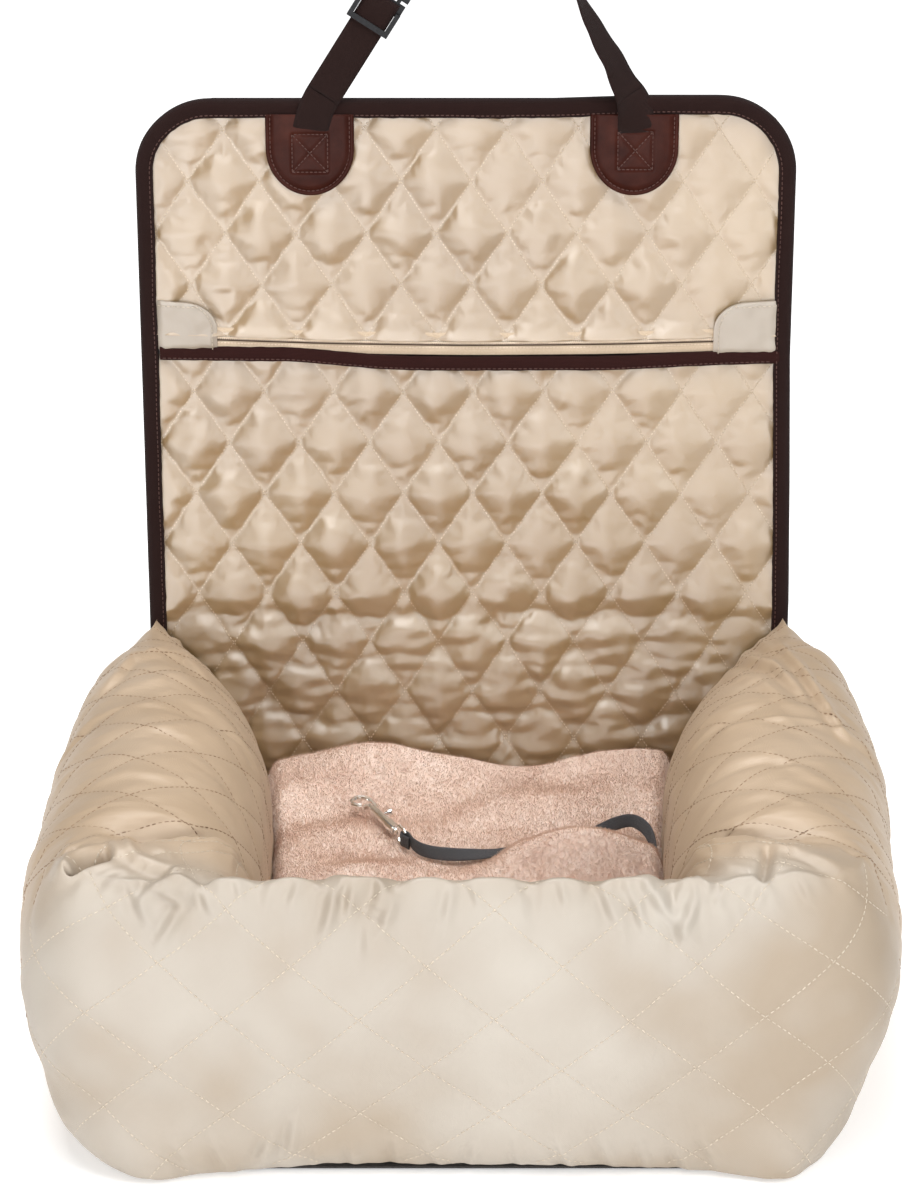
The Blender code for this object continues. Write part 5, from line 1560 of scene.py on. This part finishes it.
def build_bolster_pieces():
    global B_CO
    B_CO = quilt_bolsters()
    co = B_CO.reshape(-1, 3)
    b = Builder()
    b.add(co, B_F, 0)
    for ends in (0, B_COUNT - 1):
        ring = [ends * M_AROUND + j for j in range(M_AROUND)]
        b.f.append(tuple(ring if ends else ring[::-1]))
        b.m.append(0)
        b.uv.append([(0, 0)] * M_AROUND)
    me = b.mesh("bolster_cover_quilted", [M_SATIN_PAINTED_FRONT, M_THREAD_F, M_THREAD_PAINTED_SHADE])
    ob = bpy.data.objects.new("bolster_cover_quilted", me)
    SCENE.collection.objects.link(ob)
    md = ob.modifiers.new("fine", "SUBSURF")
    md.levels = md.render_levels = 1
    apply_all(ob)
    # a finer mesh where the small folds are
    bm = bmesh.new()
    bm.from_mesh(ob.data)
    mids = np.array([tuple(f.calc_center_median()) for f in bm.faces]) * 1000
    u, v = seen_at(mids)
    fine = ((v > 836) & (v < 950) & (mids[:, 1] < -150) & (mids[:, 2] > 120)) \
        | ((v > 630) & (v < 760) & (mids[:, 1] > 50) & (mids[:, 2] > 110))
    bm.faces.ensure_lookup_table()
    edges = set(e for k in np.where(fine)[0] for e in bm.faces[int(k)].edges)
    bmesh.ops.subdivide_edges(bm, edges=list(edges), cuts=1, use_grid_fill=True, smooth=0.5)
    bm.to_mesh(ob.data)
    bm.free()
    sb = Builder()
    idx = np.arange(B_COUNT)
    zones = ((B_L[0] + 4, EAR0 - 1), (EAR0 + 1, EAR1 - 1), (EAR1 + 1, B_L[-1] - 4))
    for z0, z1 in zones:
        hw, hh, u0, v0 = lattice((z0 + z1) / 2)
        for fam in (0, 1):
            for c in range(-40, 41):
                pts, ups = [], []

                def flush():
                    if len(pts) > 3:
                        front = EAR0 < z0 + 2 < EAR1
                        # the sides' stitches take the darker copy of the thread, as painted shade
                        stitch_line(sb, pts, ups, 0.0030, 0.0014, 0.00046 if front else 0.00048, 1 if front else 2, 0.0001)
                    pts.clear()
                    ups.clear()

                v = -330.0
                while v < 330.0:
                    vv = (v - v0) / hh
                    L = u0 + (2 * c - vv if fam == 0 else 2 * c + vv) * hw
                    v += 4.0
                    if not z0 < L < z1:
                        flush()
                        continue
                    i = float(np.interp(L, B_L, idx))
                    row = B_A[int(i)] * (1 - (i - int(i))) + B_A[min(B_COUNT - 1, int(i) + 1)] * (i - int(i))
                    if not (row[0] + 3 < v - 4.0 < row[J_OF[13]] - 3):
                        flush()
                        continue
                    j = float(np.interp(v - 4.0, row, np.arange(M_AROUND)))
                    p, nn = bolster_sample(i, j)
                    pts.append(p)
                    ups.append(nn)
                flush()
    join_builder(ob, sb)
    flat = np.zeros(len(ob.data.vertices) * 3)
    ob.data.vertices.foreach_get("co", flat)
    P = flat.reshape(-1, 3) * 1000
    P = P + fold_shift(P)
    P[:, 2] = np.maximum(P[:, 2], 1.0)
    ob.data.vertices.foreach_set("co", (P * 0.001).reshape(-1))
    ob.data.update()
    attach(ob, "base")
    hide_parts("front_bolster_cover", "left_bolster_cover", "right_bolster_cover")


build_bolster_pieces()


def build_filling():
    """Loose fibre that fills the cover, a little inside it."""
    co = B_CO[::5, ::4].copy()
    mid = co.mean(1)[:, None, :]
    co = mid + (co - mid) * np.array([0.84, 0.84, 0.74])
    co[:, :, 2] = np.maximum(co[:, :, 2], 0.008)
    n, m = co.shape[:2]
    co[0] = co[0].mean(0) * 0.12 + co[0] * 0.88
    co[0, :, 1] -= 0.010
    co[-1] = co[-1].mean(0) * 0.12 + co[-1] * 0.88
    co[-1, :, 1] -= 0.010
    faces = [(i * m + j, i * m + (j + 1) % m, (i + 1) * m + (j + 1) % m, (i + 1) * m + j) for i in range(n - 1) for j in range(m)]
    if B_F[0][1] > B_F[0][3]:
        faces = [f[::-1] for f in faces]
    b = Builder()
    b.add(co.reshape(-1, 3), faces, 0)
    b.add(co[0], [tuple(range(m))], 0)
    b.add(co[-1], [tuple(range(m))[::-1]], 0)
    me = b.mesh("bolster_fibre", [M_FIBRE])
    bm = bmesh.new()
    bm.from_mesh(me)
    bmesh.ops.remove_doubles(bm, verts=bm.verts, dist=1e-6)
    bmesh.ops.recalc_face_normals(bm, faces=bm.faces)
    bm.to_mesh(me)
    bm.free()
    me.shade_smooth()
    new_object("bolster_fibre", me, "base",
               ("front_bolster_filling", "left_bolster_filling", "right_bolster_filling"))


build_filling()

# ---------------------------------------------------------------- plush mat
FOLDS = [  # x0, y0, x1, y1, width, height
    (-150, 150, -70, 222, 26, 11), (-128, 222, -10, 228, 30, 15), (-160, 60, -70, 120, 30, 8), (46, 46, 140, 36, 25, 38),
    (-20, 28, 60, 32, 22, 8), (10, 150, 160, 175, 30, 8), (90, 228, 166, 224, 24, 17), (-70, 120, 30, 196, 26, -6),
    (-150, 128, -80, 160, 22, -6), (-120, 20, -60, 46, 22, 10), (20, 120, 120, 132, 24, -4), (-150, 84, -60, 70, 20, -4),
    (60, 190, 130, 150, 22, -3),
]


def plush_z(x, y):
    z = 66.5 + 2.5 * nz(x, y, 120, 0.012) + 1.2 * nz(x, y, 125, 0.035)
    for (x0, y0, x1, y1, w, h) in FOLDS:
        d = Vector((x1 - x0, y1 - y0))
        t = max(0.0, min(1.0, ((x - x0) * d.x + (y - y0) * d.y) / d.length_squared))
        e = math.hypot(x - x0 - d.x * t, y - y0 - d.y * t)
        z += h * math.exp(-(e / w) ** 2) * (0.35 + 0.65 * math.sin(math.pi * min(1, max(0, 0.15 + 0.7 * t))))
    return z


def plush_half(y):
    ys, hs = [-140, -70, 0, 80, 150, 200, 236], [146, 148, 150, 152, 157, 162, 166]
    return float(np.interp(y, ys, hs))


def build_plush():
    b = Builder()
    nx, ny = 110, 122
    y0, y1 = -136.0, 233.0
    verts, faces = [], []
    for i in range(ny + 1):
        y = y0 + (y1 - y0) * i / ny
        h = plush_half(y)
        for j in range(nx + 1):
            f = -1 + 2 * j / nx
            x = f * h - 6.0 * (1 - (y + 136) / 370)
            edge = min(i, ny - i, j, nx - j)
            z = plush_z(x, y)
            d = min((1 - abs(f)) * h, y - y0, y1 - y)
            z -= 26.0 * max(0.0, 1 - d / 12.0) ** 2
            verts.append((x * 0.001, y * 0.001, z * 0.001))
    for i in range(ny):
        for j in range(nx):
            faces.append((i * (nx + 1) + j, i * (nx + 1) + j + 1, (i + 1) * (nx + 1) + j + 1, (i + 1) * (nx + 1) + j))
    b.add(verts, faces, 0)
    # the underside closes it
    rim = [j for j in range(nx + 1)] + [i * (nx + 1) + nx for i in range(1, ny + 1)] \
        + [ny * (nx + 1) + j for j in range(nx - 1, -1, -1)] + [i * (nx + 1) for i in range(ny - 1, 0, -1)]
    low = [(verts[k][0], verts[k][1], 0.0368) for k in rim]
    o = len(verts)
    m = len(rim)
    b.v += low
    for k in range(m):
        k2 = (k + 1) % m
        b.f.append((rim[k2], rim[k], o + k, o + k2))
        b.m.append(0)
        b.uv.append([(0, 0)] * 4)
    b.f.append(tuple(o + k for k in range(m))[::-1])
    b.m.append(0)
    b.uv.append([(0, 0)] * m)
    # pile: short curved blades
    rnd = random.Random(7)
    count = 140000
    bv, bf = [], []
    for _ in range(count):
        y = rnd.uniform(-60, 231)
        h = plush_half(y) - 3
        x = rnd.uniform(-1, 1) * h - 6.0 * (1 - (y + 136) / 370)
        z = plush_z(x, y)
        d = min(h + 3 - abs(x + 6.0 * (1 - (y + 136) / 370)), 233 - y)
        z -= 26.0 * max(0.0, 1 - d / 12.0) ** 2
        gx = (plush_z(x + 2, y) - plush_z(x - 2, y)) / 4
        gy = (plush_z(x, y + 2) - plush_z(x, y - 2)) / 4
        n = Vector((-gx, -gy, 1)).normalized()
        tuft = nz(x, y, 133, 0.09), nz(x, y, 134, 0.09)
        comb = Vector((0.4 * nz(x, y, 130, 0.02) + 0.22 * tuft[0], -0.5 + 0.4 * nz(x, y, 132, 0.02) + 0.18 * tuft[1], 0))
        comb += Vector((rnd.uniform(-0.3, 0.3), rnd.uniform(-0.3, 0.3), 0))
        ln = rnd.uniform(2.6, 4.6)
        w = rnd.uniform(0.2, 0.36)
        d0 = (n + comb * 0.6).normalized()
        d1 = (n * 0.55 + comb * 1.3).normalized()
        side = d0.cross(n)
        if side.length < 1e-4:
            side = Vector((1, 0, 0))
        side.normalize()
        p0 = Vector((x, y, z - 0.8))
        p1 = p0 + d0 * ln * 0.5
        p2 = p1 + d1 * ln * 0.5
        k = len(bv)
        bv += [tuple((p0 - side * w / 2) * 0.001), tuple((p0 + side * w / 2) * 0.001), tuple((p1 + side * w / 2.4) * 0.001),
               tuple((p1 - side * w / 2.4) * 0.001), tuple(p2 * 0.001)]
        bf += [(k, k + 1, k + 2, k + 3), (k + 3, k + 2, k + 4)]
    b.add(bv, bf, 0)
    me = b.mesh("plush_cover", [M_PLUSH])
    ob = new_object("plush_cover", me, "base", ("plush_mat",))


build_plush()

# ---------------------------------------------------------------- underside
def build_base_sheet():
    """Dark non-slip cloth with rows of raised dots underneath."""
    def outline(hx, y0, y1, r, z):
        pts = []
        for cx, cy, a0 in ((hx - r, y0 + r, -90), (hx - r, y1 - 30, 0), (-hx + r, y1 - 30, 90), (-hx + r, y0 + r, 180)):
            rr = r if cy < 0 else 30
            cxx = cx if cy < 0 else math.copysign(hx - 30, cx)
            pts += [(cxx + rr * math.cos(math.radians(a0 + 9 * k)), cy + rr * math.sin(math.radians(a0 + 9 * k)), z)
                    for k in range(11)]
        return pts
    b = Builder()
    # the front edge lies just behind the hem, where a thin dark strip of it shows as painted contact shadow
    rings = [outline(242, -247, 236, 92, 0.35), outline(243, -249.5, 237, 93, 0.9), outline(243, -249.5, 237, 93, 2.4),
             outline(241, -247, 234, 90, 3.0)]
    m = len(rings[0])
    verts = [tuple(c * 0.001 for c in p) for rg in rings for p in rg]
    faces = [(i * m + j, i * m + (j + 1) % m, (i + 1) * m + (j + 1) % m, (i + 1) * m + j) for i in range(3) for j in range(m)]
    faces += [tuple(range(m))[::-1], tuple(3 * m + j for j in range(m))]
    b.add(verts, faces, 0)
    for i in range(-19, 20):
        for j in range(-18, 19):
            x, y = i * 12.5 + (6.25 if j % 2 else 0), j * 12.5
            if abs(x) > 234 or y < -228 or y > 226 or (abs(x) > 154 and y < -150 and math.hypot(abs(x) - 154, y + 150) > 78):
                continue
            top = [(x + 2.2 * math.cos(math.radians(60 * k)), y + 2.2 * math.sin(math.radians(60 * k)), 0.4) for k in range(6)]
            low = [(x + 1.5 * math.cos(math.radians(60 * k)), y + 1.5 * math.sin(math.radians(60 * k)), 0.0) for k in range(6)]
            v = [tuple(c * 0.001 for c in p) for p in top + low]
            b.add(v, [(k, (k + 1) % 6, 6 + (k + 1) % 6, 6 + k) for k in range(6)] + [(11, 10, 9, 8, 7, 6)], 1)
    me = b.mesh("base_sheet_cloth", [M_DARK, M_PLASTIC], smooth=False)
    bm = bmesh.new()
    bm.from_mesh(me)
    bmesh.ops.recalc_face_normals(bm, faces=bm.faces)
    bm.to_mesh(me)
    bm.free()
    new_object("base_sheet_cloth", me, "base", ("nonslip_base_sheet",))


build_base_sheet()

# ---------------------------------------------------------------- tether
HOOK_D = Vector((-0.463, 0.886, 0.0)).normalized()
HOOK_O = Vector((-56.0, 95.0, 75.5))
HOOK_B = HOOK_D.cross(Vector((0, 0, 1)))
TETHER = [(140.3, 30, 44), (140.4, 31, 58), (140.4, 35, 69), (140.2, 45, 76), (139.5, 66, 79), (135, 90, 80), (125, 104, 80),
          (112, 101, 79), (98, 90, 78), (84, 82.2, 77), (70, 77.4, 76.5), (25, 62, 76), (8, 57.6, 76), (-12, 57.0, 76),
          (-28, 60.5, 75.8), (-38.0, 67.0, 75.6), (-43.2, 74.6, 75.5)]
TILT = [(0, 90), (0.14, 90), (0.24, 70), (0.38, 60), (0.50, 20), (0.56, 0), (0.75, 0), (0.90, 60), (1.0, 90)]


def build_tether():
    tpath = smooth_path(TETHER, 3.0)
    tw = []
    n = len(tpath)
    for i in range(n):
        t = i / (n - 1)
        for (t0, v0), (t1, v1) in zip(TILT, TILT[1:]):
            if t0 <= t <= t1:
                tilt = math.radians(v0 + (v1 - v0) * (t - t0) / (t1 - t0))
                break
        tan = (tpath[min(i + 1, n - 1)] - tpath[max(i - 1, 0)]).normalized()
        if t < 0.13:
            w = Vector((0, 1, 0))
        else:
            fl = tan.cross(Vector((0, 0, 1))).normalized()
            w = fl * math.cos(tilt) + Vector((0, 0, 1)) * math.sin(tilt)
        tw.append(w)
    end = smooth_path([tuple(HOOK_O + HOOK_D * a + HOOK_B * b) for a, b in (
        (-21, 2.2), (-16, 2.9), (-13.4, 2.9), (-11.2, 2.3), (-10.0, 0.9), (-10.0, -0.9), (-11.2, -2.3), (-13.4, -2.9), (-16, -2.7),
        (-19, -1.6), (-22.5, -0.8))], 1.2)
    tpath += end
    tw += [Vector((0, 0, 1))] * len(end)
    for i in range(1, len(tw)):
        if tw[i].dot(tw[i - 1]) < 0:
            tw[i] = -tw[i]
    b = Builder()
    ribbon(b, tpath, tw, 10.0, 1.6, 0, bulge=0.05, segs=8)
    me = b.mesh("tether_strap", [M_GREY], uv=True)
    bm = bmesh.new()
    bm.from_mesh(me)
    bmesh.ops.recalc_face_normals(bm, faces=bm.faces)
    bm.to_mesh(me)
    bm.free()
    me.shade_smooth()
    ob = new_object("tether_strap", me, "base", ("tether_webbing",))


build_tether()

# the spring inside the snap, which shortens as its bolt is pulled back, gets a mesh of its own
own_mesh(NODES["snap_spring"])

# ---------------------------------------------------------------- materials on the carried-over nodes
KEEP = {
    "floor_foam_pad": M_FOAM, "back_wall_board": M_BOARD, "panel_board": M_BOARD, "back_wall_lining": M_LINER,
    "panel_lining": M_LINER, "pocket_lining": M_LINER, "zip_stop_left": M_STEEL, "zip_stop_right": M_STEEL, "zip_slider": M_STEEL,
    "zip_pull": M_STEEL, "snap_swivel_eye": M_STEEL, "snap_hook_body": M_STEEL, "snap_bolt": M_STEEL, "snap_spring": M_STEEL,
    "buckle_clip": M_PLASTIC, "clip_prong_left": M_PLASTIC, "clip_prong_right": M_PLASTIC, "buckle_socket": M_PLASTIC,
    "tether_adjuster": M_PLASTIC, "tether_anchor_tab": M_PLASTIC,
}
for name, mat in KEEP.items():
    me = NODES[name].data
    me.materials.clear()
    me.materials.append(mat)

# ---------------------------------------------------------------- floor, world and light
floor_me = bpy.data.meshes.new("floor")
floor_me.from_pydata([(-6, -6, 0), (6, -6, 0), (6, 6, 0), (-6, 6, 0)], [], [(0, 1, 2, 3)])
floor = bpy.data.objects.new("floor", floor_me)
floor.location = (0, 0, -0.0005)
SCENE.collection.objects.link(floor)
fm = bpy.data.materials.new("floor_paint")
nt, ns, ls, bs = nodes_of(fm)
bs.inputs["Emission Color"].default_value = (1, 1, 1, 1)
co = ns.new("ShaderNodeTexCoord").outputs["Object"]
sep = ns.new("ShaderNodeSeparateXYZ")
ls.new(co, sep.inputs[0])
glow = ns.new("ShaderNodeMapRange")
glow.inputs["From Min"].default_value = -0.2
glow.inputs["From Max"].default_value = 1.6
glow.inputs["To Min"].default_value = 0.28
glow.inputs["To Max"].default_value = 0.70
ls.new(sep.outputs["Y"], glow.inputs["Value"])
ls.new(glow.outputs[0], bs.inputs["Emission Strength"])
bs.inputs["Base Color"].default_value = (0.93, 0.93, 0.93, 1)
bs.inputs["Roughness"].default_value = 0.9
bs.inputs["Specular IOR Level"].default_value = 0.1
floor_me.materials.append(fm)

world = bpy.data.worlds.new("studio")
SCENE.world = world
world.use_nodes = True
world.node_tree.nodes["Background"].inputs[0].default_value = (1.0, 1.0, 1.0, 1)
world.node_tree.nodes["Background"].inputs[1].default_value = 0.30


def area(name, loc, target, size, energy, color=(1, 1, 1)):
    li = bpy.data.lights.new(name, "AREA")
    li.shape = "RECTANGLE"
    li.size, li.size_y = size
    li.energy = energy
    li.color = color
    ob = bpy.data.objects.new(name, li)
    ob.location = loc
    ob.rotation_euler = (Vector(target) - Vector(loc)).to_track_quat("-Z", "Y").to_euler()
    SCENE.collection.objects.link(ob)


area("key", (-0.50, -2.66, 0.74), (0, 0, 0.5), (3.1, 1.25), 66)
area("fill", (1.7, -1.2, 1.9), (0, 0, 0.2), (1.2, 1.2), 28, (0.97, 0.99, 1.0))
area("top", (-0.35, -0.1, 2.6), (0, 0.0, 0.3), (1.8, 1.2), 52)
SCENE.view_settings.view_transform = "Standard"
